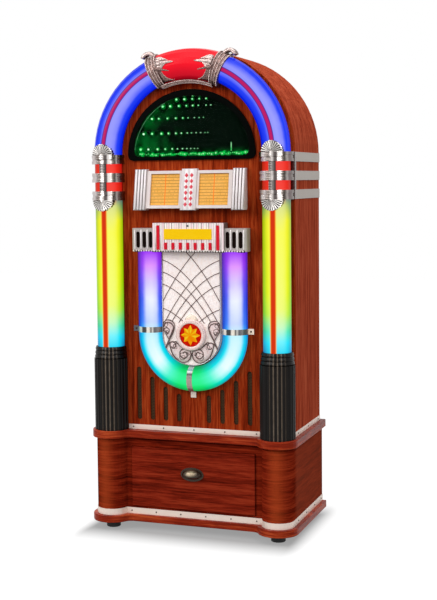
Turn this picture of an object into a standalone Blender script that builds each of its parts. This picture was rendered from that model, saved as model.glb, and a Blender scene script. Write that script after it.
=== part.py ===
"""An arched jukebox cabinet on a drawer stand, as separate pieces at their real size. Metres, +Z up.

The plane y = 0 of the sizes below is the front face of the cabinet, and the front looks along -Y.
The empty called stand carries every piece and centres the whole on the origin, feet on z = 0.
"""
import math

import bmesh
import bpy
from mathutils import Matrix, Vector

for leftover in list(bpy.data.objects):
    bpy.data.objects.remove(leftover, do_unlink=True)

# Fits
GAP = 0.0003
OVERRUN = 0.004
WELD = 0.00001

# Plan of the cabinet
COLUMN_X = 0.250
COLUMN_Y = -0.0086
CABINET_HALF_WIDTH = 0.2916
CABINET_DEPTH = 0.298
REBATE_DEPTH = 0.0222
PANEL_THICKNESS = 0.012
SHELL_WALL = 0.015
COVER_THICKNESS = 0.005
COVER_MARGIN = 0.004

# Drawer stand
FOOT_HEIGHT = 0.0225
FOOT_RADIUS = 0.0205
FOOT_FLARE = 0.0015
FOOT_INSET = 0.050
PILASTER_RADIUS = 0.045
STAND_REAR_STEP = 0.014
STAND_WALL = 0.015
STAND_FLOOR = 0.012
FRAME_FRONT_Y = -0.0135
FRAME_THICKNESS = 0.018
PLINTH_THICKNESS = 0.0200
PLINTH_OVERHANG = 0.0130
PLINTH_EDGE = 0.007
CARCASS_HEIGHT = 0.2241
TOP_OVERHANG = 0.0115
TOP_THICKNESS = 0.0218
TOP_EDGE = 0.009
BOARD_FRONT_STEP = 0.0110
BOARD_SWEEP = 0.020
TRIM_THICKNESS = 0.0012
TRIM_HEIGHT = 0.0177
DRAWER_HALF_WIDTH = 0.1856
DRAWER_HEIGHT = 0.1725
DRAWER_RISE = 0.0251
DRAWER_REVEAL = 0.0015
DRAWER_PROUD = 0.0060
DRAWER_FRONT_THICKNESS = 0.018
DRAWER_EDGE = 0.0015
DRAWER_REAR_ROOM = 0.0282
DRAWER_BOX_HEIGHT = 0.135
DRAWER_BOX_SIDE_PLAY = 0.006
DRAWER_STAND_PLAY = 0.0044
DRAWER_WALL = 0.010
DRAWER_BOTTOM = 0.006
DRAWER_SKIRT = 0.006
RUNNER_HALF_WIDTH = 0.016
RUNNER_PLAY = 0.001
RUNNER_FRONT_Y = 0.016
PULL_HALF_WIDTH = 0.0345
PULL_HALF_HEIGHT = 0.0200
PULL_DEPTH = 0.0235
PULL_WALL = 0.0020
PULL_LIP = 0.0040
PULL_FLANGE = 0.0018
PULL_MOUTH_SHARE = 0.30
PULL_RISE_SHARE = 0.60

# Columns, measured up from the stand top
COLUMN_HEIGHT = 0.7921
COLUMN_BASE_RADIUS = 0.0494
COLUMN_BASE_HEIGHT = 0.2069
SHOULDER_HEIGHT = 0.0348
SHOULDER_RADIUS = 0.0455
SHOULDER_RING = 0.0022
FLUTE_COUNT = 26
FLUTE_DEPTH = 0.0024
FLUTE_LAND_SHARE = 0.34
COLUMN_RADIUS = 0.0392
RING_HEIGHT = 0.026
RING_SPACE = 0.0258
RING_RADIUS = 0.0478
RING_GROOVE = 0.0014
FRONT_BAR_HALF_WIDTH = 0.0100
FRONT_BAR_RADIUS = 0.0440
REAR_BAR_DEPTH = 0.014
SHELL_RADIUS = 0.031
SHELL_LIFT = 0.0012
SHELL_THICKNESS = 0.0042
SHELL_LOBES = 12
SHELL_LOBE_DEPTH = 0.0016
STRAP_THICKNESS = 0.0016
STRAP_POST = 0.014

# Arch
ARCH_TUBE_RADIUS = 0.0400
ARCH_LEG = 0.0012
END_ANGLE = 0.2
CROWN_ANGLE = 18.5
CROWN_DROP = 0.0045
CROWN_THICKNESS = 0.0055
CROWN_BAND_ANGLE = 25.5
CROWN_BAND_THICKNESS = 0.0082
CROWN_RIM_RADIUS = 0.0048
CROWN_RIM_TILT = 25.0
CROWN_ARM_LENGTH = 0.042
CROWN_ARM_RADIUS = 0.0055
CROWN_ARM_TIP = 0.0012
CROWN_CURL_RADIUS = 0.0135
CROWN_CURL_WIRE = 0.0058
CROWN_CURL_ANGLE = 23.5

# Window
WINDOW_RISE = 0.7747
WINDOW_HALF_WIDTH = 0.190
WINDOW_HEIGHT = 0.1973
WINDOW_CORNER = 0.016
BEZEL_WIDTH = 0.0185
BEZEL_BOTTOM_WIDTH = 0.0110
BEZEL_THICKNESS = 0.0060
BEZEL_LAP = 0.007
GLASS_THICKNESS = 0.003
LIGHT_BOX_DEPTH = 0.029
LIGHT_BOX_WALL = 0.003

# Title door and the disc unit behind it
DOOR_RISE = 0.6344
DOOR_HALF_WIDTH = 0.1640
DOOR_HEIGHT = 0.1155
DOOR_TOP_DEPTH = 0.0147
DOOR_BOTTOM_DEPTH = 0.0360
DOOR_STEP = 0.0050
DOOR_STEP_DEPTH = 0.0030
DOOR_BLOCK_WIDTH = 0.0360
DOOR_STRIP_HALF_WIDTH = 0.0225
DOOR_SKIN = 0.0040
DOOR_SIDE = 0.0030
DOOR_CLEARANCE = 0.0006
DOOR_HINGE_RADIUS = 0.0065
DOOR_RIBS = 4
DOOR_RIB_GROOVE = 0.0024
DOOR_RIB_DEPTH = 0.0020
CARD_HALF_WIDTH = 0.0435
CARD_X = 0.0725
CARD_MARGIN = 0.0085
CARD_LAP = 0.004
CARD_THICKNESS = 0.0010
DISC_RADIUS = 0.060
DISC_PLAY = 0.003
UNIT_HALF_WIDTH = 0.157
UNIT_RISE = 0.6450
UNIT_HEIGHT = 0.0955
UNIT_DEPTH = 0.190
UNIT_WALL = 0.003
UNIT_FLOOR = 0.010
UNIT_BAY_HALF_WIDTH = 0.088
UNIT_FACE_Y = 0.020
DISC_Y = 0.112
WELL_DEPTH = 0.005
HUB_RADIUS = 0.016
HUB_BOSS_RADIUS = 0.0074
HUB_THICKNESS = 0.0022
HUB_BOSS_HEIGHT = 0.0050
HUB_SHAFT_RADIUS = 0.0030
HUB_SHAFT_PLAY = 0.0010
MOTOR_RADIUS = 0.0150
MOTOR_HEIGHT = 0.020
SLED_INNER = 0.027
SLED_TRAVEL = 0.031
SLED_HALF_LENGTH = 0.010
SLED_HALF_WIDTH = 0.014
SLED_HEIGHT = 0.009
SLED_LENS_RADIUS = 0.0050
SLED_PLAY = 0.0010
KNOB_RADIUS = 0.0130
KNOB_LENGTH = 0.0150
KNOB_X = 0.122
KNOB_SKIRT = 0.0015
KNOB_EDGE = 0.0020

# Console over the grille
CONSOLE_RISE = 0.5184
CONSOLE_HALF_WIDTH = 0.1715
WING_HEIGHT = 0.0650
WING_DEPTH = 0.0300
WING_EDGE = 0.006
VENT_HALF_WIDTH = 0.0058
VENT_PITCH = 0.0190
VENT_MARGIN = 0.0092
BLOCK_HALF_WIDTH = 0.1055
BLOCK_DROP = 0.0005
BLOCK_HEIGHT = 0.0805
BLOCK_DEPTH = 0.0360
CONSOLE_WALL = 0.003
REED_PITCH = 0.0075
REED_GROOVE = 0.0016
SIGN_HALF_WIDTH = 0.0710
SIGN_HEIGHT = 0.0294
SIGN_RISE = 0.0345
SIGN_THICKNESS = 0.0015
KEY_PITCH = 0.0221
KEY_COUNT = 7
KEY_HALF_WIDTH = 0.0042
KEY_HEIGHT = 0.0190
KEY_RISE = 0.0060
KEY_PLAY = 0.0005
KEY_PROUD = 0.0035
KEY_LENGTH = 0.0160
KEY_EDGE = 0.0008

# Grille and its U-shaped tube
U_RISE = 0.2814
U_RADIUS = 0.1262
U_TUBE_RADIUS = 0.0365
U_BAND_WIDTH = 0.016
U_BAND_THICKNESS = 0.0015
U_BAND_TAB = 0.016
U_BAND_RISE = 0.013
GRILLE_PROUD = 0.0115
GRILLE_BOARD_THICKNESS = 0.0205
GRILLE_PLAY = 0.0004
FRAME_WIRE = 0.0016
FRAME_DEPTH = 0.0026
LATTICE_WIRE = 0.0011
RIGHT_WIRE_SHARE = 0.9
BAR_LIFT_SHARE = 1.05
LATTICE_Z = 0.7835
LATTICE_PITCH = 0.0345
LATTICE_LINES = (-2, 0, 1, 2, 4)
LATTICE_SLOPE = 0.314
LATTICE_BOW = 0.224
LATTICE_FOOT = 0.032
MEDAL_RADIUS = 0.0327
MEDAL_DOME = 0.0085
MEDAL_RIM_WIDTH = 0.0110
MEDAL_RIM_DEPTH = 0.0120
SCROLL_WIRE = 0.0023
SCROLL_WIRE_SHARES = {"hook": 1.0, "curl": 0.83, "leaf": 0.89, "volute": 0.95}
CURL_SHARE = 0.72
HOOK_X = 0.0695
HOOK_RISE = 0.0175
HOOK_RADIUS = 0.0165
HOOK_FOOT_X = 0.0777
HOOK_FOOT_DROP = 0.0400
CURL_X = 0.0737
CURL_RISE = 0.0090
CURL_RADIUS = 0.0115
LEAF_X = 0.0565
LEAF_DROP = 0.0330
LEAF_RADIUS = 0.0145
VOLUTE_X = 0.0215
VOLUTE_DROP = 0.0558
VOLUTE_RADIUS = 0.0165

# Sound slots and the inside
SLOT_COUNT = 4
SLOT_FIRST_X = 0.0450
SLOT_PITCH = 0.0406
SLOT_HALF_WIDTH = 0.0070
SLOT_RISE = 0.0284
SLOT_TALLEST = 0.154
SLOT_HEIGHT_SHARES = (0.52, 0.64, 0.82, 1.0)
STRIP_HEIGHT = 0.0138
STRIP_THICKNESS = 0.0012
BAFFLE_HALF_WIDTH = 0.205
BAFFLE_HEIGHT = 0.300
BAFFLE_THICKNESS = 0.012
BAFFLE_RISE = 0.0160
CLOTH_SPACE = 0.0008
SPEAKER_X = 0.105
SPEAKER_RISE = 0.115
SPEAKER_RADIUS = 0.060
SPEAKER_FLANGE = 0.004
SPEAKER_DEPTH = 0.050
SPEAKER_MAGNET_RADIUS = 0.035
SPEAKER_CONE_WALL = 0.0025
SPEAKER_MAGNET_SHARE = 0.40
AMPLIFIER_HALF_WIDTH = 0.080
AMPLIFIER_HEIGHT = 0.110
AMPLIFIER_DEPTH = 0.080
AMPLIFIER_RISE = 0.080
AMPLIFIER_WALL = 0.004
AMPLIFIER_FLANGE = 0.008
AMPLIFIER_PLATE = 0.003
FIN_COUNT = 9
FIN_HALF_THICKNESS = 0.0015
FIN_DEPTH = 0.005
FIN_REACH_SHARE = 0.42
INLET_HALF_WIDTH = 0.0135
INLET_HEIGHT = 0.0190
INLET_DEPTH = 0.016
COVER_VENT_COUNT = 8
COVER_VENT_PITCH = 0.018
COVER_VENT_HALF_WIDTH = 0.060
COVER_VENT_HALF_HEIGHT = 0.003
COVER_VENT_RISE = 0.560

# Heights worked out from the pieces that stand on each other
PLINTH_Z = FOOT_HEIGHT + GAP
CARCASS_Z = PLINTH_Z + PLINTH_THICKNESS + GAP
CARCASS_TOP_Z = CARCASS_Z + CARCASS_HEIGHT
TOP_BOARD_Z = CARCASS_TOP_Z + GAP
CABINET_Z = TOP_BOARD_Z + TOP_THICKNESS + GAP
COLUMN_TOP_Z = CABINET_Z + COLUMN_HEIGHT
ARCH_Z = COLUMN_TOP_Z + ARCH_LEG
STAND_SIDE_X = COLUMN_X + PILASTER_RADIUS
STAND_REAR_Y = CABINET_DEPTH + STAND_REAR_STEP
FIELD_HALF_WIDTH = COLUMN_X - ARCH_TUBE_RADIUS - GAP
SHELL_FRONT_Y = REBATE_DEPTH + PANEL_THICKNESS + GAP
CONSOLE_Z = CABINET_Z + CONSOLE_RISE
U_Z = CABINET_Z + U_RISE
GRILLE_HALF_WIDTH = U_RADIUS - U_TUBE_RADIUS - U_BAND_THICKNESS - GAP * 2 - GRILLE_PLAY
DOOR_Z = CABINET_Z + DOOR_RISE
HINGE_Y = -DOOR_CLEARANCE - DOOR_HINGE_RADIUS
HINGE_Z = DOOR_Z + DOOR_HINGE_RADIUS
UNIT_Z = CABINET_Z + UNIT_RISE
WELL_FLOOR_Z = UNIT_Z + UNIT_FLOOR - WELL_DEPTH
KNOB_Z = UNIT_Z + (UNIT_FLOOR + UNIT_HEIGHT) / 2
BLOCK_Z = CONSOLE_Z - BLOCK_DROP
DRAWER_Z = CARCASS_Z + DRAWER_RISE
STAND_FRONT_Y = COLUMN_Y - PILASTER_RADIUS - PLINTH_OVERHANG

PARTS = bpy.data.collections.new("jukebox")
CUTTERS = bpy.data.collections.new("jukebox_cutters")
bpy.context.scene.collection.children.link(PARTS)
bpy.context.scene.collection.children.link(CUTTERS)

# How a flat outline drawn in x and y is turned to lie in another plane
FLAT = (0, 0, 0)
UPRIGHT = (math.radians(90), 0, 0)
SIDEWAYS = (math.radians(90), 0, math.radians(90))


def empty(name, at, parent=None):
    """An empty that carries pieces: the stand, or a joint's axis."""
    holder = bpy.data.objects.new(name, None)
    PARTS.objects.link(holder)
    holder.parent = parent
    holder.location = at
    return holder


STAND = empty("stand", (0, -(STAND_FRONT_Y + STAND_REAR_Y) / 2, 0))


def add(name, mesh, at=(0, 0, 0), turn=FLAT, parent=STAND, home=PARTS):
    """Places a mesh at a point of the cabinet, under the stand or under a joint's empty."""
    piece = bpy.data.objects.new(name, mesh)
    home.objects.link(piece)
    carried = Vector((0, 0, 0)) if parent == STAND else parent.location
    piece.parent = parent
    piece.location = Vector(at) - carried
    piece.rotation_euler = turn
    return piece


def tool(name, mesh, at=(0, 0, 0), turn=FLAT):
    """A shape that only cuts or extends another piece."""
    shape = add(name, mesh, at, turn, home=CUTTERS)
    shape.hide_render = True
    shape.display_type = "WIRE"
    return shape


def combine(piece, operation, *shapes):
    for shape in shapes:
        step = piece.modifiers.new(shape.name, "BOOLEAN")
        step.operation = operation
        step.solver = "EXACT"
        step.object = shape
    return piece


def cut(piece, *shapes):
    return combine(piece, "DIFFERENCE", *shapes)


def fuse(piece, *shapes):
    return combine(piece, "UNION", *shapes)


def finish(piece, colour, roughness, metallic=0.0):
    """Gives the piece its own material."""
    surface = bpy.data.materials.new(piece.name + "_finish")
    surface.use_nodes = True
    shader = surface.node_tree.nodes["Principled BSDF"]
    shader.inputs["Base Color"].default_value = (*colour, 1.0)
    shader.inputs["Roughness"].default_value = roughness
    shader.inputs["Metallic"].default_value = metallic
    piece.data.materials.append(surface)
    return piece


def smooth(mesh):
    mesh.shade_smooth()
    mesh.set_sharp_from_angle(angle=math.radians(35))
    return mesh


def block_mesh(name, size):
    work = bmesh.new()
    bmesh.ops.create_cube(work, size=1)
    bmesh.ops.scale(work, vec=size, verts=work.verts)
    mesh = bpy.data.meshes.new(name)
    work.to_mesh(mesh)
    work.free()
    return mesh


def between(low, high):
    """Size and centre of the box from its low corner to its high corner."""
    low, high = Vector(low), Vector(high)
    return high - low, (low + high) / 2


def box(name, low, high, parent=STAND):
    size, centre = between(low, high)
    return add(name, block_mesh(name, size), centre, parent=parent)


def box_tool(name, low, high):
    size, centre = between(low, high)
    return tool(name, block_mesh(name, size), centre)


def round_mesh(name, radius, length, sides, tip=None):
    """A cylinder along Z, or a cone where the radius at its upper end is given."""
    work = bmesh.new()
    upper = radius if tip is None else tip
    bmesh.ops.create_cone(
        work, cap_ends=True, segments=sides, radius1=radius, radius2=upper, depth=length
    )
    mesh = bpy.data.meshes.new(name)
    work.to_mesh(mesh)
    work.free()
    return smooth(mesh)


def from_curve(name, curve):
    """Makes a closed mesh of a curve and drops the curve."""
    maker = bpy.data.objects.new(name, curve)
    bpy.context.scene.collection.objects.link(maker)
    graph = bpy.context.evaluated_depsgraph_get()
    mesh = bpy.data.meshes.new_from_object(maker.evaluated_get(graph))
    bpy.data.objects.remove(maker, do_unlink=True)
    work = bmesh.new()
    work.from_mesh(mesh)
    bmesh.ops.remove_doubles(work, verts=work.verts, dist=WELD)
    bmesh.ops.recalc_face_normals(work, faces=work.faces)
    work.to_mesh(mesh)
    work.free()
    return smooth(mesh)


def plate_mesh(name, thickness, *loops):
    """A flat outline with its holes, as thick as given, centred on its own plane."""
    curve = bpy.data.curves.new(name, "CURVE")
    curve.dimensions = "2D"
    curve.fill_mode = "BOTH"
    curve.extrude = thickness / 2
    for loop in loops:
        spline = curve.splines.new("POLY")
        spline.points.add(len(loop) - 1)
        for point, (x, y) in zip(spline.points, loop):
            point.co = (x, y, 0, 1)
        spline.use_cyclic_u = True
    return from_curve(name, curve)


def wire_mesh(name, points, radius, resolution=2):
    """A round bar along a list of points."""
    curve = bpy.data.curves.new(name, "CURVE")
    curve.dimensions = "3D"
    curve.bevel_depth = radius
    curve.bevel_resolution = resolution
    curve.use_fill_caps = True
    spline = curve.splines.new("POLY")
    spline.points.add(len(points) - 1)
    for point, place in zip(spline.points, points):
        point.co = (*place, 1)
    return from_curve(name, curve)


def turned(name, profile, steps, at, turn=FLAT, parent=STAND, home=PARTS):
    """A shape turned about its own Z from a profile of (radius, height), read from the top down.

    A ring's profile ends on its first point.
    """
    mesh = bpy.data.meshes.new(name)
    points = [(radius, 0, height) for radius, height in profile]
    edges = [(n, n + 1) for n in range(len(points) - 1)]
    if profile[0] == profile[-1]:
        points.pop()
        edges[-1] = (len(points) - 1, 0)
    mesh.from_pydata(points, edges, [])
    piece = add(name, mesh, at, turn, parent, home)
    spin = piece.modifiers.new("turn", "SCREW")
    spin.steps = steps
    spin.render_steps = steps
    spin.use_merge_vertices = True
    spin.merge_threshold = WELD
    spin.use_smooth_shade = True
    return piece


def upright_plate(name, y_front, y_back, *loops, home=PARTS, parent=STAND):
    """A board whose outline stands in x and z."""
    mesh = plate_mesh(name, y_back - y_front, *loops)
    return add(name, mesh, (0, (y_front + y_back) / 2, 0), UPRIGHT, parent, home)


def upright_tool(name, y_front, y_back, *loops):
    shape = upright_plate(name, y_front, y_back, *loops, home=CUTTERS)
    shape.hide_render = True
    shape.display_type = "WIRE"
    return shape


def level_plate(name, z_low, z_high, *loops):
    """A board whose outline lies in x and y."""
    return add(name, plate_mesh(name, z_high - z_low, *loops), (0, 0, (z_low + z_high) / 2))


def side_prism(name, x_low, x_high, loop, parent=STAND, home=PARTS):
    """A bar along X whose section stands in y and z."""
    mesh = plate_mesh(name, x_high - x_low, loop)
    carried = Vector((0, 0, 0)) if parent == STAND else parent.location
    section = Matrix.Translation((-carried.y, -carried.z, 0)) if carried.length else Matrix()
    mesh.transform(section)
    at = ((x_low + x_high) / 2, carried.y, carried.z)
    return add(name, mesh, at, SIDEWAYS, parent, home)


def side_tool(name, x_low, x_high, loop):
    shape = side_prism(name, x_low, x_high, loop, home=CUTTERS)
    shape.hide_render = True
    shape.display_type = "WIRE"
    return shape


def arc(centre, radius, start, stop, steps, rise=None):
    """Points round a centre from start to stop in degrees; rise is the other half axis of an ellipse."""
    tall = radius if rise is None else rise
    turns = [math.radians(start + (stop - start) * n / steps) for n in range(steps + 1)]
    return [(centre[0] + radius * math.cos(t), centre[1] + tall * math.sin(t)) for t in turns]


def rectangle(x_low, z_low, x_high, z_high):
    return [(x_low, z_low), (x_high, z_low), (x_high, z_high), (x_low, z_high)]


def arched(half_width, z_low, z_spring, steps=40):
    """The cabinet's outline: straight sides under a half circle."""
    top = arc((0, z_spring), half_width, 0, 180, steps)
    return [(-half_width, z_low), (half_width, z_low)] + top


def half_round(half_width, z_low, corner, height, steps=36):
    """The window's outline: a flat foot with rounded corners under a low arch."""
    spring = z_low + corner
    right = arc((half_width - corner, spring), corner, -90, 0, 4)
    left = arc((corner - half_width, spring), corner, 180, 270, 4)
    top = arc((0, spring), half_width, 0, 180, steps, height - corner)
    return right + top[1:-1] + left


def u_outline(half_width, z_centre, z_top, steps=24):
    return [(half_width, z_top), (-half_width, z_top)] + arc((0, z_centre), half_width, 180, 360, steps)


def capsule(x, z_low, z_high, half_width):
    """A slot's outline with round ends."""
    upper = arc((x, z_high - half_width), half_width, 0, 180, 6)
    lower = arc((x, z_low + half_width), half_width, 180, 360, 6)
    return upper + lower


def polar(radius, angle):
    """A point of the arch's plane, its angle in degrees from straight up."""
    turn = math.radians(angle)
    return radius * math.sin(turn), ARCH_Z + radius * math.cos(turn)


WOOD = (0.205, 0.034, 0.012)
PALE_METAL = (0.72, 0.60, 0.50)
CHROME = (0.80, 0.80, 0.80)
PEWTER = (0.42, 0.37, 0.34)
BLACK = (0.012, 0.012, 0.012)
IVORY = (0.80, 0.74, 0.72)


def stand_outline(grow, front_y, sweep=0.0):
    """Plan of the stand: straight sides that run round a pilaster at each front corner.

    sweep is the radius of the hollow curve between a pilaster and the straight front.
    """
    radius = PILASTER_RADIUS + grow
    if sweep:
        reach = radius + sweep
        hollow_y = front_y - sweep
        hollow_x = COLUMN_X - math.sqrt(reach ** 2 - (COLUMN_Y - hollow_y) ** 2)
        meet = math.degrees(math.atan2(COLUMN_Y - hollow_y, COLUMN_X - hollow_x))
        front = arc((hollow_x, hollow_y), sweep, 90, meet, 5)[:-1]
    else:
        meet = math.degrees(math.asin((COLUMN_Y - front_y) / radius))
        front = []
    half = front + arc((COLUMN_X, COLUMN_Y), radius, 180 + meet, 360, 12)
    half.append((COLUMN_X + radius, STAND_REAR_Y))
    return half + [(-x, y) for x, y in reversed(half)]


# Feet: four turned black pads
for side, across in (("left", -COLUMN_X), ("right", COLUMN_X)):
    for end, along in (("front", COLUMN_Y), ("rear", STAND_REAR_Y - FOOT_INSET)):
        foot = turned(
            f"foot_{end}_{side}",
            [
                (0, FOOT_HEIGHT),
                (FOOT_RADIUS, FOOT_HEIGHT),
                (FOOT_RADIUS, FOOT_FLARE),
                (FOOT_RADIUS - FOOT_FLARE, 0),
                (0, 0),
            ],
            20,
            (across, along, 0),
        )
        finish(foot, BLACK, 0.6)

# Plinth board and stand top: moulded boards with a lobe under each column
BOARD_FRONT_Y = FRAME_FRONT_Y - BOARD_FRONT_STEP


def moulded_board(name, z_low, thickness, overhang, edge):
    outline = stand_outline(overhang, BOARD_FRONT_Y, BOARD_SWEEP)
    board = level_plate(name, z_low, z_low + thickness, outline)
    round_over = board.modifiers.new("edge", "BEVEL")
    round_over.width = edge
    round_over.segments = 2
    round_over.limit_method = "ANGLE"
    round_over.angle_limit = math.radians(60)
    return finish(board, WOOD, 0.25)


moulded_board("plinth_board", PLINTH_Z, PLINTH_THICKNESS, PLINTH_OVERHANG, PLINTH_EDGE)
moulded_board("stand_top_board", TOP_BOARD_Z, TOP_THICKNESS, TOP_OVERHANG, TOP_EDGE)

# Stand carcass: pilasters, sides, back, floor and drawer frame in one body, open above and in front
DRAWER_OPENING = rectangle(
    -DRAWER_HALF_WIDTH - DRAWER_REVEAL,
    DRAWER_Z - DRAWER_REVEAL,
    DRAWER_HALF_WIDTH + DRAWER_REVEAL,
    DRAWER_Z + DRAWER_HEIGHT + DRAWER_REVEAL,
)
STAND_INNER_X = STAND_SIDE_X - STAND_WALL
STAND_INNER_Y = FRAME_FRONT_Y + FRAME_THICKNESS
DRAWER_FACE_Y = FRAME_FRONT_Y - DRAWER_PROUD
carcass = level_plate("stand_carcass", CARCASS_Z, CARCASS_TOP_Z, stand_outline(0, FRAME_FRONT_Y))
pilaster_back_y = COLUMN_Y + PILASTER_RADIUS
drawer_room_x = DRAWER_HALF_WIDTH + DRAWER_STAND_PLAY
cut(
    carcass,
    box_tool(
        "stand_hollow",
        (-STAND_INNER_X, pilaster_back_y, CARCASS_Z + STAND_FLOOR),
        (STAND_INNER_X, STAND_REAR_Y - STAND_WALL, CARCASS_TOP_Z + OVERRUN),
    ),
    box_tool(
        "stand_front_hollow",
        (-drawer_room_x, STAND_INNER_Y, CARCASS_Z + STAND_FLOOR),
        (drawer_room_x, pilaster_back_y + OVERRUN, CARCASS_TOP_Z + OVERRUN),
    ),
    upright_tool("drawer_hole", DRAWER_FACE_Y - OVERRUN, STAND_INNER_Y + OVERRUN, DRAWER_OPENING),
)
finish(carcass, WOOD, 0.28)

# Stand trim: one pale metal strip bent round the front, the pilasters and the sides, open behind


def from_the_rear(outline):
    """The same outline, begun at its rear left corner."""
    half = len(outline) // 2
    return outline[half:] + outline[:half]


strip_outer = from_the_rear(stand_outline(GAP + TRIM_THICKNESS, FRAME_FRONT_Y - GAP - TRIM_THICKNESS))
strip_inner = from_the_rear(stand_outline(GAP, FRAME_FRONT_Y - GAP))
trim = level_plate(
    "stand_trim_strip",
    CARCASS_Z,
    CARCASS_Z + TRIM_HEIGHT,
    strip_outer + strip_inner[::-1],
)
finish(trim, PALE_METAL, 0.35, 1.0)

# Drawer: box, front and runner. Its slide runs along -Y
DRAWER_BOX_Y = DRAWER_FACE_Y + DRAWER_FRONT_THICKNESS + GAP
DRAWER_BOX_REAR_Y = STAND_REAR_Y - STAND_WALL - DRAWER_REAR_ROOM
DRAWER_BOX_Z = DRAWER_Z
DRAWER_BOX_X = DRAWER_HALF_WIDTH - DRAWER_BOX_SIDE_PLAY
DRAWER_FLOOR_Z = DRAWER_BOX_Z + DRAWER_SKIRT
drawer = empty("drawer_slide", (0, DRAWER_FACE_Y, DRAWER_Z), STAND)
runner = box(
    "drawer_runner",
    (-RUNNER_HALF_WIDTH, RUNNER_FRONT_Y, CARCASS_Z + STAND_FLOOR + GAP),
    (RUNNER_HALF_WIDTH, STAND_REAR_Y - STAND_WALL - GAP, DRAWER_FLOOR_Z - GAP),
)
finish(runner, WOOD, 0.5)

drawer_box = box(
    "drawer_box",
    (-DRAWER_BOX_X, DRAWER_BOX_Y, DRAWER_BOX_Z),
    (DRAWER_BOX_X, DRAWER_BOX_REAR_Y, DRAWER_BOX_Z + DRAWER_BOX_HEIGHT),
    drawer,
)
cut(
    drawer_box,
    box_tool(
        "drawer_hollow",
        (DRAWER_WALL - DRAWER_BOX_X, DRAWER_BOX_Y + DRAWER_WALL, DRAWER_FLOOR_Z + DRAWER_BOTTOM),
        (
            DRAWER_BOX_X - DRAWER_WALL,
            DRAWER_BOX_REAR_Y - DRAWER_WALL,
            DRAWER_BOX_Z + DRAWER_BOX_HEIGHT + OVERRUN,
        ),
    ),
    box_tool(
        "drawer_under",
        (DRAWER_WALL - DRAWER_BOX_X, DRAWER_BOX_Y + DRAWER_WALL, DRAWER_BOX_Z - OVERRUN),
        (DRAWER_BOX_X - DRAWER_WALL, DRAWER_BOX_REAR_Y - DRAWER_WALL, DRAWER_FLOOR_Z),
    ),
    box_tool(
        "runner_notch",
        (
            -RUNNER_HALF_WIDTH - RUNNER_PLAY,
            DRAWER_BOX_REAR_Y - DRAWER_WALL - OVERRUN,
            DRAWER_BOX_Z - OVERRUN,
        ),
        (RUNNER_HALF_WIDTH + RUNNER_PLAY, DRAWER_BOX_REAR_Y + OVERRUN, DRAWER_FLOOR_Z),
    ),
)
finish(drawer_box, (0.45, 0.26, 0.12), 0.6)

drawer_front = box(
    "drawer_front",
    (-DRAWER_HALF_WIDTH, DRAWER_FACE_Y, DRAWER_Z),
    (DRAWER_HALF_WIDTH, DRAWER_FACE_Y + DRAWER_FRONT_THICKNESS, DRAWER_Z + DRAWER_HEIGHT),
    drawer,
)
eased = drawer_front.modifiers.new("edge", "BEVEL")
eased.width = DRAWER_EDGE
eased.segments = 2
finish(drawer_front, WOOD, 0.25)

# Cup pull: a brass half cup on an oval flange, open below for the fingers
PULL_Z = DRAWER_Z + DRAWER_HEIGHT * PULL_RISE_SHARE
PULL_BACK_Y = DRAWER_FACE_Y - GAP


def egg(name, across, deep, tall, home):
    work = bmesh.new()
    bmesh.ops.create_uvsphere(work, u_segments=16, v_segments=10, radius=1)
    bmesh.ops.scale(work, vec=(across, deep, tall), verts=work.verts)
    mesh = bpy.data.meshes.new(name)
    work.to_mesh(mesh)
    work.free()
    parent = drawer if home == PARTS else STAND
    return add(name, smooth(mesh), (0, PULL_BACK_Y, PULL_Z), FLAT, parent, home)


def as_tool(shape):
    shape.hide_render = True
    shape.display_type = "WIRE"
    return shape


cup_pull = egg("cup_pull", PULL_HALF_WIDTH - PULL_LIP, PULL_DEPTH, PULL_HALF_HEIGHT - PULL_LIP, PARTS)
flange = arc((0, PULL_Z), PULL_HALF_WIDTH, 0, 360, 24, PULL_HALF_HEIGHT)[:-1]
mouth_z = PULL_Z - PULL_HALF_HEIGHT * PULL_MOUTH_SHARE
hollow = egg(
    "pull_hollow",
    PULL_HALF_WIDTH - PULL_LIP - PULL_WALL,
    PULL_DEPTH - PULL_WALL,
    PULL_HALF_HEIGHT - PULL_LIP - PULL_WALL,
    CUTTERS,
)
cut(
    cup_pull,
    box_tool(
        "pull_mouth",
        (-PULL_HALF_WIDTH, PULL_BACK_Y - PULL_DEPTH - OVERRUN, PULL_Z - PULL_HALF_HEIGHT - OVERRUN),
        (PULL_HALF_WIDTH, PULL_BACK_Y + OVERRUN, mouth_z),
    ),
)
fuse(cup_pull, upright_tool("pull_flange", PULL_BACK_Y - PULL_FLANGE, PULL_BACK_Y, flange))
cut(
    cup_pull,
    as_tool(hollow),
    box_tool(
        "pull_back",
        (-PULL_HALF_WIDTH, PULL_BACK_Y, PULL_Z - PULL_HALF_HEIGHT - OVERRUN),
        (PULL_HALF_WIDTH, PULL_BACK_Y + PULL_DEPTH + OVERRUN, PULL_Z + PULL_HALF_HEIGHT + OVERRUN),
    ),
)
finish(cup_pull, (0.12, 0.075, 0.035), 0.35, 1.0)

# Cabinet shell: two sides, floor and half-round roof, open in front and behind
shell = upright_plate(
    "cabinet_shell",
    SHELL_FRONT_Y,
    CABINET_DEPTH,
    arched(CABINET_HALF_WIDTH, CABINET_Z, ARCH_Z),
    arched(CABINET_HALF_WIDTH - SHELL_WALL, CABINET_Z + SHELL_WALL, ARCH_Z),
)
finish(shell, WOOD, 0.28)

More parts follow.
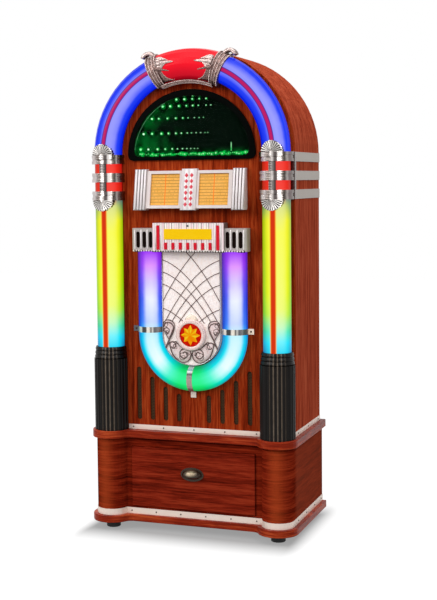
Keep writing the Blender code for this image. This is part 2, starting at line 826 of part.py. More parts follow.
# Front panel: a full board behind the tubes, with a raised field between them, cut for all it carries
front_panel = upright_plate(
    "front_panel",
    REBATE_DEPTH,
    REBATE_DEPTH + PANEL_THICKNESS,
    arched(CABINET_HALF_WIDTH, CABINET_Z, ARCH_Z),
)
fuse(
    front_panel,
    upright_tool(
        "front_field", 0, REBATE_DEPTH + PANEL_THICKNESS / 2, arched(FIELD_HALF_WIDTH, CABINET_Z, ARCH_Z)
    ),
)
PANEL_CUT = (-OVERRUN, REBATE_DEPTH + PANEL_THICKNESS + OVERRUN)
WINDOW_Z = CABINET_Z + WINDOW_RISE


def window_outline(inset, foot_inset):
    return half_round(
        WINDOW_HALF_WIDTH - inset,
        WINDOW_Z + foot_inset,
        WINDOW_CORNER,
        WINDOW_HEIGHT - inset - foot_inset,
    )


for side, sign in (("left", -1), ("right", 1)):
    for number, share in enumerate(SLOT_HEIGHT_SHARES):
        slot_x = sign * (SLOT_FIRST_X + SLOT_PITCH * number)
        slot_z = CABINET_Z + SLOT_RISE
        loop = capsule(slot_x, slot_z, slot_z + SLOT_TALLEST * share, SLOT_HALF_WIDTH)
        cut(front_panel, upright_tool(f"sound_slot_{side}_{number + 1}", *PANEL_CUT, loop))
GRILLE_TOP_Z = BLOCK_Z - GAP
cut(
    front_panel,
    upright_tool("window_hole", *PANEL_CUT, window_outline(BEZEL_LAP, BEZEL_LAP)),
    upright_tool(
        "unit_hole",
        *PANEL_CUT,
        rectangle(-UNIT_HALF_WIDTH - GAP, UNIT_Z - GAP, UNIT_HALF_WIDTH + GAP, UNIT_Z + UNIT_HEIGHT + GAP),
    ),
    upright_tool("grille_hole", *PANEL_CUT, u_outline(GRILLE_HALF_WIDTH + GAP, U_Z, GRILLE_TOP_Z + GAP)),
)
finish(front_panel, WOOD, 0.25)

# Foot strips: pale metal along the bottom edge of the cabinet
strip_top_z = CABINET_Z + STRIP_HEIGHT
strip_half = COLUMN_X - COLUMN_BASE_RADIUS - GAP
strip = box(
    "foot_strip_front",
    (-strip_half, -GAP - STRIP_THICKNESS, CABINET_Z),
    (strip_half, -GAP, strip_top_z),
)
finish(strip, PALE_METAL, 0.35, 1.0)
for side, sign in (("left", -1), ("right", 1)):
    near = CABINET_HALF_WIDTH + GAP
    far = near + STRIP_THICKNESS
    strip = box(
        f"foot_strip_{side}",
        (min(sign * near, sign * far), REBATE_DEPTH + GAP, CABINET_Z),
        (max(sign * near, sign * far), CABINET_DEPTH, strip_top_z),
    )
    finish(strip, PALE_METAL, 0.35, 1.0)

# Rear cover: a thin board over the back of the shell, with vents and the amplifier's hole
AMPLIFIER_Z = CABINET_Z + AMPLIFIER_RISE
COVER_Y = CABINET_DEPTH + GAP
cover_holes = [
    rectangle(
        -COVER_VENT_HALF_WIDTH,
        CABINET_Z + COVER_VENT_RISE + COVER_VENT_PITCH * n - COVER_VENT_HALF_HEIGHT,
        COVER_VENT_HALF_WIDTH,
        CABINET_Z + COVER_VENT_RISE + COVER_VENT_PITCH * n + COVER_VENT_HALF_HEIGHT,
    )
    for n in range(COVER_VENT_COUNT)
]
cover_holes.append(
    rectangle(
        -AMPLIFIER_HALF_WIDTH - GAP,
        AMPLIFIER_Z - GAP,
        AMPLIFIER_HALF_WIDTH + GAP,
        AMPLIFIER_Z + AMPLIFIER_HEIGHT + GAP,
    )
)
rear_cover = upright_plate(
    "rear_cover",
    COVER_Y,
    COVER_Y + COVER_THICKNESS,
    arched(CABINET_HALF_WIDTH - COVER_MARGIN, CABINET_Z + COVER_MARGIN, ARCH_Z),
    *cover_holes,
)
finish(rear_cover, (0.05, 0.04, 0.035), 0.7)

# Amplifier: a closed metal case behind a plate on the rear cover, with fins and the mains inlet
COVER_BACK_Y = COVER_Y + COVER_THICKNESS
amplifier = box(
    "amplifier_module",
    (-AMPLIFIER_HALF_WIDTH, COVER_BACK_Y - AMPLIFIER_DEPTH, AMPLIFIER_Z),
    (AMPLIFIER_HALF_WIDTH, COVER_BACK_Y + GAP + AMPLIFIER_PLATE, AMPLIFIER_Z + AMPLIFIER_HEIGHT),
)
plate_y = COVER_BACK_Y + GAP
fuse(
    amplifier,
    box_tool(
        "amplifier_plate",
        (-AMPLIFIER_HALF_WIDTH - AMPLIFIER_FLANGE, plate_y, AMPLIFIER_Z - AMPLIFIER_FLANGE),
        (
            AMPLIFIER_HALF_WIDTH + AMPLIFIER_FLANGE,
            plate_y + AMPLIFIER_PLATE,
            AMPLIFIER_Z + AMPLIFIER_HEIGHT + AMPLIFIER_FLANGE,
        ),
    ),
)
inlet_x = AMPLIFIER_HALF_WIDTH - INLET_HALF_WIDTH - AMPLIFIER_FLANGE
inlet_z = AMPLIFIER_Z + AMPLIFIER_FLANGE
cut(
    amplifier,
    box_tool(
        "inlet_socket",
        (inlet_x - INLET_HALF_WIDTH, plate_y + AMPLIFIER_PLATE - INLET_DEPTH, inlet_z),
        (inlet_x + INLET_HALF_WIDTH, plate_y + AMPLIFIER_PLATE + OVERRUN, inlet_z + INLET_HEIGHT),
    ),
    box_tool(
        "amplifier_hollow",
        (
            AMPLIFIER_WALL - AMPLIFIER_HALF_WIDTH,
            COVER_BACK_Y - AMPLIFIER_DEPTH - OVERRUN,
            AMPLIFIER_Z + AMPLIFIER_WALL,
        ),
        (
            AMPLIFIER_HALF_WIDTH - AMPLIFIER_WALL,
            plate_y - INLET_DEPTH - AMPLIFIER_WALL,
            AMPLIFIER_Z + AMPLIFIER_HEIGHT - AMPLIFIER_WALL,
        ),
    ),
)
fin_pitch = AMPLIFIER_HALF_WIDTH * 2 * FIN_REACH_SHARE / FIN_COUNT
for number in range(FIN_COUNT):
    fin_x = AMPLIFIER_WALL - AMPLIFIER_HALF_WIDTH + fin_pitch * (number + 1)
    fuse(
        amplifier,
        box_tool(
            f"fin_{number + 1}",
            (fin_x - FIN_HALF_THICKNESS, plate_y, AMPLIFIER_Z + AMPLIFIER_WALL),
            (
                fin_x + FIN_HALF_THICKNESS,
                plate_y + AMPLIFIER_PLATE + FIN_DEPTH,
                AMPLIFIER_Z + AMPLIFIER_HEIGHT - AMPLIFIER_WALL,
            ),
        ),
    )
finish(amplifier, (0.02, 0.02, 0.022), 0.45, 1.0)

# Speaker baffle and its two drivers behind the sound slots
BAFFLE_Y = REBATE_DEPTH + PANEL_THICKNESS + CLOTH_SPACE
BAFFLE_BACK_Y = BAFFLE_Y + BAFFLE_THICKNESS
SPEAKER_Z = CABINET_Z + SPEAKER_RISE
speaker_hole = SPEAKER_RADIUS - SPEAKER_FLANGE - SPEAKER_FLANGE
baffle_low = CABINET_Z + BAFFLE_RISE
baffle = upright_plate(
    "speaker_baffle",
    BAFFLE_Y,
    BAFFLE_BACK_Y,
    rectangle(-BAFFLE_HALF_WIDTH, baffle_low, BAFFLE_HALF_WIDTH, baffle_low + BAFFLE_HEIGHT),
    arc((-SPEAKER_X, SPEAKER_Z), speaker_hole, 0, 360, 24)[:-1],
    arc((SPEAKER_X, SPEAKER_Z), speaker_hole, 0, 360, 24)[:-1],
)
finish(baffle, (0.06, 0.035, 0.02), 0.8)
for side, across in (("left", -SPEAKER_X), ("right", SPEAKER_X)):
    throat = SPEAKER_DEPTH * SPEAKER_MAGNET_SHARE
    driver = turned(
        f"speaker_{side}",
        [
            (0, -throat),
            (SPEAKER_MAGNET_RADIUS / 2, -throat),
            (speaker_hole, -SPEAKER_CONE_WALL),
            (speaker_hole, 0),
            (SPEAKER_RADIUS, 0),
            (SPEAKER_RADIUS, -SPEAKER_FLANGE),
            (SPEAKER_RADIUS - SPEAKER_FLANGE, -SPEAKER_FLANGE),
            (SPEAKER_MAGNET_RADIUS, SPEAKER_CONE_WALL - SPEAKER_DEPTH + throat),
            (SPEAKER_MAGNET_RADIUS, -SPEAKER_DEPTH),
            (0, -SPEAKER_DEPTH),
        ],
        24,
        (across, BAFFLE_BACK_Y + GAP, SPEAKER_Z),
        UPRIGHT,
    )
    finish(driver, (0.03, 0.03, 0.03), 0.5)

# Room that the raised field takes, kept clear by the round pieces beside it
field_room = upright_tool(
    "field_room",
    -GAP,
    REBATE_DEPTH + OVERRUN,
    arched(FIELD_HALF_WIDTH + GAP, CABINET_Z - OVERRUN, ARCH_Z),
)
back_room = box_tool(
    "back_room",
    (-CABINET_HALF_WIDTH - COLUMN_BASE_RADIUS, REBATE_DEPTH - GAP, CABINET_Z - OVERRUN),
    (
        CABINET_HALF_WIDTH + COLUMN_BASE_RADIUS,
        REBATE_DEPTH + COLUMN_BASE_RADIUS,
        ARCH_Z + CABINET_HALF_WIDTH + COLUMN_BASE_RADIUS,
    ),
)


def fluted_outline(radius):
    """Round outline with narrow lands between hollow flutes."""
    loop = []
    for flute in range(FLUTE_COUNT):
        for share in (0, 0.25, 0.5, 0.75):
            along = flute + (FLUTE_LAND_SHARE + share * (1 - FLUTE_LAND_SHARE) if share else 0)
            depth = FLUTE_DEPTH * math.sin(math.pi * share)
            turn = 2 * math.pi * along / FLUTE_COUNT
            loop.append(((radius - depth) * math.cos(turn), (radius - depth) * math.sin(turn)))
        turn = 2 * math.pi * (flute + FLUTE_LAND_SHARE) / FLUTE_COUNT
        loop.append((radius * math.cos(turn), radius * math.sin(turn)))
    return sorted(loop, key=lambda point: math.atan2(point[1], point[0]))


def ring_profile(z_low, z_high, inner, outer, grooves):
    """Section of one chrome ring: a flat inner wall and a face with fine grooves."""
    face = []
    pitch = (z_high - z_low) / (grooves * 2 + 1)
    for n in range(grooves * 2 + 1):
        reach = outer if n % 2 == 0 else outer - RING_GROOVE
        face.append((reach, z_high - pitch * n))
        face.append((reach, z_high - pitch * (n + 1)))
    return [(inner, z_high)] + face + [(inner, z_low), (inner, z_high)]


def shell_outline(across, z_foot, way):
    """A fan with a scalloped rim, standing up (way 1) or hanging down (way -1) from a ring."""
    steps = SHELL_LOBES * 2
    loop = []
    for n in range(steps + 1):
        turn = math.pi * n / steps
        reach = SHELL_RADIUS - SHELL_LOBE_DEPTH * abs(math.cos(turn * SHELL_LOBES))
        loop.append((across + reach * math.cos(turn), z_foot + way * reach * math.sin(turn)))
    return loop


def upright_cylinder(name, radius, z_low, z_high, across, sides=40):
    mesh = round_mesh(name, radius, z_high - z_low, sides)
    return tool(name, mesh, (across, COLUMN_Y, (z_low + z_high) / 2))


TUBE_Z = CABINET_Z + COLUMN_BASE_HEIGHT + SHOULDER_HEIGHT + GAP
RING_LOWS = [COLUMN_TOP_Z - RING_HEIGHT * (n + 1) - RING_SPACE * n for n in range(3)]
COLLAR_Z = RING_LOWS[-1]
RING_INNER = COLUMN_RADIUS + GAP
RING_CORE = COLUMN_RADIUS - RING_GROOVE
shell_front = RING_RADIUS + SHELL_THICKNESS
for side, across in (("left", -COLUMN_X), ("right", COLUMN_X)):
    sign = math.copysign(1, across)

    # Column base: black fluted drum with a stepped shoulder
    base = add(
        f"column_base_{side}",
        plate_mesh(f"column_base_{side}", COLUMN_BASE_HEIGHT, fluted_outline(COLUMN_BASE_RADIUS)),
        (across, COLUMN_Y, CABINET_Z + COLUMN_BASE_HEIGHT / 2),
    )
    ring = SHOULDER_HEIGHT / 6
    shoulder = [(0, SHOULDER_HEIGHT)]
    for step in range(3):
        top = SHOULDER_HEIGHT - ring * 2 * step
        reach = SHOULDER_RADIUS + SHOULDER_RING * step / 2
        shoulder += [(reach - SHOULDER_RING, top), (reach, top - ring)]
        shoulder += [(reach, top - ring * 3 / 2), (reach - SHOULDER_RING, top - ring * 2)]
    shoulder += [(SHOULDER_RADIUS, -OVERRUN), (0, -OVERRUN)]
    top_z = CABINET_Z + COLUMN_BASE_HEIGHT
    cap = turned(f"shoulder_{side}", shoulder, 32, (across, COLUMN_Y, top_z), home=CUTTERS)
    fuse(base, as_tool(cap))
    cut(base, back_room, field_room)
    finish(base, BLACK, 0.3)

    # Column tube: translucent tube, lit from inside, up to the arch
    tube = add(
        f"column_tube_{side}",
        round_mesh(f"column_tube_{side}", COLUMN_RADIUS, COLUMN_TOP_Z - GAP - TUBE_Z, 40),
        (across, COLUMN_Y, (COLUMN_TOP_Z - GAP + TUBE_Z) / 2),
    )
    cut(tube, back_room)
    finish(tube, (0.75, 0.95, 0.25), 0.3)

    # Collar: three grooved chrome rings, two upright bars and two fans, in one casting
    collar = turned(
        f"column_collar_{side}",
        ring_profile(0, RING_HEIGHT, RING_CORE, RING_RADIUS, 1),
        30,
        (across, COLUMN_Y, RING_LOWS[0]),
    )
    for number, low in enumerate(RING_LOWS[1:]):
        other = turned(
            f"ring_{side}_{number + 2}",
            ring_profile(0, RING_HEIGHT, RING_CORE, RING_RADIUS, 1),
            30,
            (across, COLUMN_Y, low),
            home=CUTTERS,
        )
        fuse(collar, as_tool(other))
    bar = tool(
        f"front_bar_{side}",
        block_mesh(
            f"front_bar_{side}",
            (FRONT_BAR_HALF_WIDTH * 2, FRONT_BAR_RADIUS * 2, COLUMN_TOP_Z - GAP - COLLAR_Z - GAP),
        ),
        (across, COLUMN_Y - FRONT_BAR_RADIUS, (COLUMN_TOP_Z + COLLAR_Z) / 2),
    )
    sleeve = upright_cylinder(f"bar_sleeve_{side}", FRONT_BAR_RADIUS, COLLAR_Z, COLUMN_TOP_Z, across)
    combine(bar, "INTERSECT", sleeve)
    fuse(collar, bar)
    outer_x = across + sign * RING_RADIUS
    inner_x = across + sign * RING_CORE
    rear_bar = box_tool(
        f"rear_bar_{side}",
        (min(outer_x, inner_x), REBATE_DEPTH - REAR_BAR_DEPTH, COLLAR_Z + GAP),
        (max(outer_x, inner_x), REBATE_DEPTH, COLUMN_TOP_Z - GAP),
    )
    fuse(collar, rear_bar)
    for name, way, foot_z, far_z in (
        ("upper", 1, COLUMN_TOP_Z - RING_HEIGHT / 2, COLUMN_TOP_Z + SHELL_RADIUS),
        ("lower", -1, COLLAR_Z + RING_HEIGHT / 2, COLLAR_Z - SHELL_RADIUS),
    ):
        fan = upright_tool(
            f"fan_{name}_{side}",
            COLUMN_Y - shell_front - OVERRUN,
            COLUMN_Y,
            shell_outline(across, COLUMN_TOP_Z if way == 1 else COLLAR_Z, way)
            + [(across - SHELL_RADIUS, foot_z), (across + SHELL_RADIUS, foot_z)],
        )
        skin = upright_cylinder(
            f"fan_skin_{name}_{side}", shell_front, min(foot_z, far_z), max(foot_z, far_z), across
        )
        combine(fan, "INTERSECT", skin)
        fuse(collar, fan)
    clear = ARCH_TUBE_RADIUS + SHELL_LIFT
    bore = upright_cylinder(
        f"collar_bore_{side}",
        RING_INNER,
        COLLAR_Z - SHELL_RADIUS - OVERRUN,
        COLUMN_TOP_Z + OVERRUN,
        across,
    )
    upper_bore = upright_cylinder(
        f"collar_upper_bore_{side}",
        clear,
        COLUMN_TOP_Z - OVERRUN,
        COLUMN_TOP_Z + SHELL_RADIUS + OVERRUN,
        across,
    )
    cut(collar, back_room, field_room, bore, upper_bore)
    finish(collar, CHROME, 0.12, 1.0)

    # Side straps: three flat bars along the cabinet side, joined by an upright at their front end
    strap_front = REBATE_DEPTH + GAP
    post_back = strap_front + STRAP_POST
    bars = [(strap_front, COLLAR_Z), (CABINET_DEPTH, COLLAR_Z)]
    for low in reversed(RING_LOWS):
        bars.append((CABINET_DEPTH, low + RING_HEIGHT))
        if low != RING_LOWS[0]:
            bars.append((post_back, low + RING_HEIGHT))
            bars.append((post_back, low + RING_HEIGHT + RING_SPACE))
            bars.append((CABINET_DEPTH, low + RING_HEIGHT + RING_SPACE))
    bars.append((strap_front, COLUMN_TOP_Z))
    near = sign * (CABINET_HALF_WIDTH + GAP)
    far = near + sign * STRAP_THICKNESS
    strap = side_prism(f"side_straps_{side}", min(near, far), max(near, far), bars)
    finish(strap, (0.33, 0.30, 0.28), 0.4, 1.0)

# Arch tube: one translucent half ring from column to column
spine = [(COLUMN_X, COLUMN_Y, COLUMN_TOP_Z + GAP)]
spine += [(x, COLUMN_Y, z) for x, z in (polar(COLUMN_X, 90 - 180 * n / 36) for n in range(37))]
spine.append((-COLUMN_X, COLUMN_Y, COLUMN_TOP_Z + GAP))
arch_tube = add("arch_tube", wire_mesh("arch_tube", spine, ARCH_TUBE_RADIUS, 6))
cut(arch_tube, back_room)
finish(arch_tube, (0.10, 0.20, 1.0), 0.25)


def arch_sleeve(name, radius, start, stop, steps, home, drop=0.0):
    """A stretch of round bar along the arch between two angles from straight up.

    Its centre line lies inside the arch's own by the drop. A short first and last step keep its
    two ends square to the arch.
    """
    turns = [start + (stop - start) * n / steps for n in range(steps + 1)]
    turns[1:1] = [start + END_ANGLE]
    turns[-1:-1] = [stop - END_ANGLE]
    places = [polar(COLUMN_X - drop, turn) for turn in turns]
    mesh = wire_mesh(name, [(x, COLUMN_Y, z) for x, z in places], radius, 6)
    return add(name, mesh, home=home)


# Crown: a red sleeve over the top of the arch, thicker below than above
crown_radius = ARCH_TUBE_RADIUS + GAP + CROWN_THICKNESS
crown = arch_sleeve("arch_crown", crown_radius, -CROWN_ANGLE, CROWN_ANGLE, 12, PARTS, CROWN_DROP)
core_angle = CROWN_BAND_ANGLE * 2
arch_core = as_tool(
    arch_sleeve("arch_core", ARCH_TUBE_RADIUS + GAP, -core_angle, core_angle, 24, CUTTERS)
)
cut(crown, arch_core, back_room, field_room)
finish(crown, (1.0, 0.01, 0.02), 0.2)

# Crown casting: a band over each end of the crown, a rim under it, an arm and a curl at each band
gap_angle = math.degrees(GAP / (COLUMN_X - ARCH_TUBE_RADIUS)) * 2
band_radius = ARCH_TUBE_RADIUS + GAP + CROWN_BAND_THICKNESS
band_start = CROWN_ANGLE + gap_angle
crown_casting = arch_sleeve(
    "crown_casting", band_radius, band_start, CROWN_BAND_ANGLE, 2, PARTS, CROWN_DROP
)
band_left = arch_sleeve(
    "band_left", band_radius, -CROWN_BAND_ANGLE, -band_start, 2, CUTTERS, CROWN_DROP
)
fuse(crown_casting, as_tool(band_left))
rim_reach = crown_radius + GAP + CROWN_RIM_RADIUS
rim_tilt = math.radians(CROWN_RIM_TILT)
rim_radius = COLUMN_X - CROWN_DROP - rim_reach * math.cos(rim_tilt)
rim_y = COLUMN_Y - rim_reach * math.sin(rim_tilt)
rim_end = (CROWN_ANGLE + CROWN_BAND_ANGLE) / 2
rim_places = [polar(rim_radius, -rim_end + rim_end * 2 * n / 14) for n in range(15)]
rim = tool("crown_rim", wire_mesh("crown_rim", [(x, rim_y, z) for x, z in rim_places], CROWN_RIM_RADIUS))
arm_y = COLUMN_Y - crown_radius - GAP - CROWN_ARM_RADIUS
arms = []
for side, sign in (("left", -1), ("right", 1)):
    foot_x, foot_z = polar(COLUMN_X - CROWN_DROP, sign * CROWN_ANGLE)
    heading = math.radians(90 + CROWN_ANGLE / 2)
    mesh = round_mesh(f"crown_arm_{side}", CROWN_ARM_RADIUS, CROWN_ARM_LENGTH, 10, CROWN_ARM_TIP)
    mesh.transform(Matrix.Translation((0, 0, CROWN_ARM_LENGTH / 2 - CROWN_ARM_RADIUS)))
    arm = tool(f"crown_arm_{side}", mesh, (foot_x, arm_y, foot_z), (0, -sign * heading, 0))
    arms.append(arm)
    curl_x, curl_z = polar(COLUMN_X - CROWN_DROP + band_radius, sign * CROWN_CURL_ANGLE)
    turns = [math.radians(150 - 330 * n / 14) for n in range(15)]
    curl = []
    for n, turn in enumerate(turns):
        reach = CROWN_CURL_RADIUS * (1 - n / 22)
        curl.append((curl_x - sign * reach * math.cos(turn), COLUMN_Y, curl_z + reach * math.sin(turn)))
    arms.append(tool(f"crown_curl_{side}", wire_mesh(f"crown_curl_{side}", curl, CROWN_CURL_WIRE)))
fuse(crown_casting, rim, *arms)
cut(crown_casting, arch_core, back_room, field_room)
finish(crown_casting, PEWTER, 0.3, 1.0)

# Window: black bezel on the panel's face, glass behind it, and a shallow mirror box of lights
bezel = upright_plate(
    "window_bezel",
    -GAP - BEZEL_THICKNESS,
    -GAP,
    window_outline(0, 0),
    window_outline(BEZEL_WIDTH, BEZEL_BOTTOM_WIDTH),
)
finish(bezel, BLACK, 0.2)
glass = upright_plate("window_glass", 0, GLASS_THICKNESS, window_outline(BEZEL_LAP + GAP, BEZEL_LAP + GAP))
finish(glass, (0.02, 0.05, 0.03), 0.02)
box_front = GLASS_THICKNESS + GAP
light_box = upright_plate(
    "window_light_box",
    box_front,
    box_front + LIGHT_BOX_DEPTH,
    window_outline(BEZEL_LAP + GAP, BEZEL_LAP + GAP),
)
rim_inset = BEZEL_LAP + GAP + LIGHT_BOX_WALL
cut(
    light_box,
    upright_tool(
        "light_box_hollow",
        box_front - OVERRUN,
        box_front + LIGHT_BOX_DEPTH - LIGHT_BOX_WALL,
        window_outline(rim_inset, rim_inset),
    ),
)
finish(light_box, (0.02, 0.30, 0.06), 0.1, 1.0)

# Title door: a moulded wedge hinged along its bottom edge, with two card windows
door = empty("title_door_hinge", (0, HINGE_Y, HINGE_Z), STAND)
DOOR_TOP_Z = DOOR_Z + DOOR_HEIGHT
DOOR_SLOPE = (DOOR_BOTTOM_DEPTH - DOOR_TOP_DEPTH) / DOOR_HEIGHT


def door_face_y(z, sunk=0.0):
    """The leaning front face of the door at a height."""
    return sunk - DOOR_TOP_DEPTH - (DOOR_TOP_Z - z) * DOOR_SLOPE


# Side views of the door: the thinner body, and the end blocks with their heel rounded about the hinge
body_low = DOOR_Z + DOOR_STEP
body_high = DOOR_TOP_Z - DOOR_STEP
body_section = [
    (door_face_y(body_low, DOOR_STEP_DEPTH), body_low),
    (door_face_y(body_high, DOOR_STEP_DEPTH), body_high),
    (-DOOR_CLEARANCE - GAP, body_high),
    (-DOOR_CLEARANCE - GAP, body_low),
]
title_door = side_prism("title_door", -DOOR_HALF_WIDTH, DOOR_HALF_WIDTH, body_section, door)
block_inner = DOOR_HALF_WIDTH - DOOR_BLOCK_WIDTH
raised = [
    (door_face_y(DOOR_Z), DOOR_Z),
    (door_face_y(DOOR_TOP_Z), DOOR_TOP_Z),
    (-DOOR_CLEARANCE, DOOR_TOP_Z),
    *arc((HINGE_Y, HINGE_Z), DOOR_HINGE_RADIUS, 0, -90, 4),
]
fuse(
    title_door,
    side_tool("door_block_left", -DOOR_HALF_WIDTH - GAP, -block_inner, raised),
    side_tool("door_block_right", block_inner, DOOR_HALF_WIDTH + GAP, raised),
    side_tool("door_strip", -DOOR_STRIP_HALF_WIDTH, DOOR_STRIP_HALF_WIDTH, raised),
)


def face_band(z_low, z_high, front, back):
    """Side view of a layer of the door that follows its leaning face."""
    return [
        (door_face_y(z_low, front), z_low),
        (door_face_y(z_high, front), z_high),
        (door_face_y(z_high, back), z_high),
        (door_face_y(z_low, back), z_low),
    ]


SKIN_BACK = DOOR_STEP_DEPTH + DOOR_SKIN
hollow_low = body_low + DOOR_SIDE
hollow_high = body_high - DOOR_SIDE
door_hollow = [
    (door_face_y(hollow_low, SKIN_BACK), hollow_low),
    (door_face_y(hollow_high, SKIN_BACK), hollow_high),
    (OVERRUN, hollow_high),
    (OVERRUN, HINGE_Z + DOOR_HINGE_RADIUS),
    (HINGE_Y - DOOR_HINGE_RADIUS, HINGE_Z + DOOR_HINGE_RADIUS),
    (HINGE_Y - DOOR_HINGE_RADIUS, hollow_low),
]
hollow_half = block_inner + DOOR_SIDE
cut(title_door, side_tool("door_hollow", -hollow_half, hollow_half, door_hollow))
for side, sign in (("left", -1), ("right", 1)):
    low_z = body_low + CARD_MARGIN
    high_z = body_high - CARD_MARGIN
    cut(
        title_door,
        side_tool(
            f"card_window_{side}",
            sign * CARD_X - CARD_HALF_WIDTH,
            sign * CARD_X + CARD_HALF_WIDTH,
            face_band(low_z, high_z, -OVERRUN, SKIN_BACK + OVERRUN),
        ),
    )
    rib_pitch = DOOR_BLOCK_WIDTH / DOOR_RIBS
    for number in range(1, DOOR_RIBS):
        groove_x = sign * (block_inner + rib_pitch * number)
        cut(
            title_door,
            side_tool(
                f"door_rib_{side}_{number}",
                groove_x - DOOR_RIB_GROOVE / 2,
                groove_x + DOOR_RIB_GROOVE / 2,
                face_band(DOOR_Z - OVERRUN, DOOR_TOP_Z + OVERRUN, -OVERRUN, DOOR_RIB_DEPTH),
            ),
        )
finish(title_door, IVORY, 0.3)

card_half = CARD_X + CARD_HALF_WIDTH + CARD_LAP
card_low = body_low + CARD_MARGIN - CARD_LAP
card_high = body_high - CARD_MARGIN + CARD_LAP
cards = side_prism(
    "title_card_sheet",
    -card_half,
    card_half,
    face_band(card_low, card_high, SKIN_BACK + GAP, SKIN_BACK + GAP + CARD_THICKNESS),
    door,
)
finish(cards, (0.75, 0.40, 0.05), 0.6)

# Disc unit: an open-fronted tray housing with control faces beside a round disc well
unit_top = UNIT_Z + UNIT_HEIGHT
face_back = UNIT_FACE_Y + UNIT_WALL
disc_deck = box(
    "disc_deck",
    (-UNIT_HALF_WIDTH, DOOR_CLEARANCE, UNIT_Z),
    (UNIT_HALF_WIDTH, face_back, unit_top),
)
bay_outer = UNIT_BAY_HALF_WIDTH + UNIT_WALL
unit_floor_z = UNIT_Z + UNIT_FLOOR
fuse(
    disc_deck,
    box_tool("bay_body", (-bay_outer, UNIT_FACE_Y, UNIT_Z), (bay_outer, UNIT_DEPTH, unit_top)),
)
well = round_mesh("disc_well", DISC_RADIUS + DISC_PLAY, WELL_DEPTH + OVERRUN, 40)
well_z = WELL_FLOOR_Z + (WELL_DEPTH + OVERRUN) / 2
shaft_hole = round_mesh("shaft_hole", HUB_SHAFT_RADIUS + HUB_SHAFT_PLAY, UNIT_FLOOR * 2, 16)
slot_half = SLED_LENS_RADIUS + SLED_PLAY
cut(
    disc_deck,
    box_tool(
        "unit_front_hollow",
        (UNIT_WALL - UNIT_HALF_WIDTH, -OVERRUN, unit_floor_z),
        (UNIT_HALF_WIDTH - UNIT_WALL, UNIT_FACE_Y, unit_top - UNIT_WALL),
    ),
    box_tool(
        "unit_bay",
        (-UNIT_BAY_HALF_WIDTH, UNIT_FACE_Y - OVERRUN, unit_floor_z),
        (UNIT_BAY_HALF_WIDTH, UNIT_DEPTH - UNIT_WALL, unit_top - UNIT_WALL),
    ),
    tool("disc_well", well, (0, DISC_Y, well_z)),
    tool("shaft_hole", shaft_hole, (0, DISC_Y, UNIT_Z)),
    box_tool(
        "sled_slot",
        (SLED_INNER - slot_half, DISC_Y - slot_half, UNIT_Z - OVERRUN),
        (SLED_INNER + SLED_TRAVEL + slot_half, DISC_Y + slot_half, unit_floor_z),
    ),
)
finish(disc_deck, (0.03, 0.03, 0.035), 0.4)

# Spindle hub, its motor under the deck, and the pickup sled. Hub and sled have their origins on their axes
hub_axis = empty("spindle_axis", (0, DISC_Y, WELL_FLOOR_Z), STAND)
hub_bottom = UNIT_Z - WELL_FLOOR_Z
hub_top = GAP + HUB_THICKNESS + HUB_BOSS_HEIGHT
hub = turned(
    "spindle_hub",
    [
        (0, hub_top),
        (HUB_BOSS_RADIUS / 2, hub_top),
        (HUB_BOSS_RADIUS, GAP + HUB_THICKNESS + HUB_BOSS_HEIGHT / 2),
        (HUB_BOSS_RADIUS, GAP + HUB_THICKNESS),
        (HUB_RADIUS, GAP + HUB_THICKNESS),
        (HUB_RADIUS, GAP),
        (HUB_SHAFT_RADIUS, GAP),
        (HUB_SHAFT_RADIUS, hub_bottom),
        (0, hub_bottom),
    ],
    24,
    (0, DISC_Y, WELL_FLOOR_Z),
    parent=hub_axis,
)
finish(hub, (0.02, 0.02, 0.02), 0.35)
motor = add(
    "spindle_motor",
    round_mesh("spindle_motor", MOTOR_RADIUS, MOTOR_HEIGHT, 24),
    (0, DISC_Y, UNIT_Z - GAP - MOTOR_HEIGHT / 2),
)
finish(motor, (0.55, 0.55, 0.55), 0.35, 1.0)
sled_axis = empty("pickup_slide", (SLED_INNER, DISC_Y, UNIT_Z), STAND)
sled = box(
    "pickup_sled",
    (SLED_INNER - SLED_HALF_LENGTH, DISC_Y - SLED_HALF_WIDTH, UNIT_Z - GAP - SLED_HEIGHT),
    (SLED_INNER + SLED_HALF_LENGTH, DISC_Y + SLED_HALF_WIDTH, UNIT_Z - GAP),
    sled_axis,
)
lens_top = WELL_FLOOR_Z - GAP
lens_low = UNIT_Z - SLED_HEIGHT / 2
lens = round_mesh("sled_lens", SLED_LENS_RADIUS, lens_top - lens_low, 16)
fuse(sled, tool("sled_lens", lens, (SLED_INNER, DISC_Y, (lens_top + lens_low) / 2)))
finish(sled, (0.04, 0.04, 0.04), 0.4)

# Volume and tuning knobs on the two control faces
for name, across in (("volume_knob", -KNOB_X), ("tuning_knob", KNOB_X)):
    axis = empty(name + "_axis", (across, UNIT_FACE_Y, KNOB_Z), STAND)
    knob = turned(
        name,
        [
            (0, KNOB_LENGTH),
            (KNOB_RADIUS - KNOB_EDGE, KNOB_LENGTH),
            (KNOB_RADIUS, KNOB_LENGTH - KNOB_EDGE),
            (KNOB_RADIUS + KNOB_SKIRT, GAP + KNOB_SKIRT),
            (KNOB_RADIUS + KNOB_SKIRT, GAP),
            (0, GAP),
        ],
        24,
        (across, UNIT_FACE_Y, KNOB_Z),
        UPRIGHT,
        axis,
    )
    notch = box_tool(
        name + "_pointer",
        (
            across - KNOB_SKIRT / 2,
            UNIT_FACE_Y - KNOB_LENGTH - OVERRUN,
            KNOB_Z + KNOB_RADIUS / 3,
        ),
        (
            across + KNOB_SKIRT / 2,
            UNIT_FACE_Y - KNOB_LENGTH + KNOB_SKIRT / 2,
            KNOB_Z + KNOB_RADIUS + KNOB_SKIRT,
        ),
    )
    cut(knob, notch)
    finish(knob, (0.5, 0.5, 0.5), 0.25, 1.0)

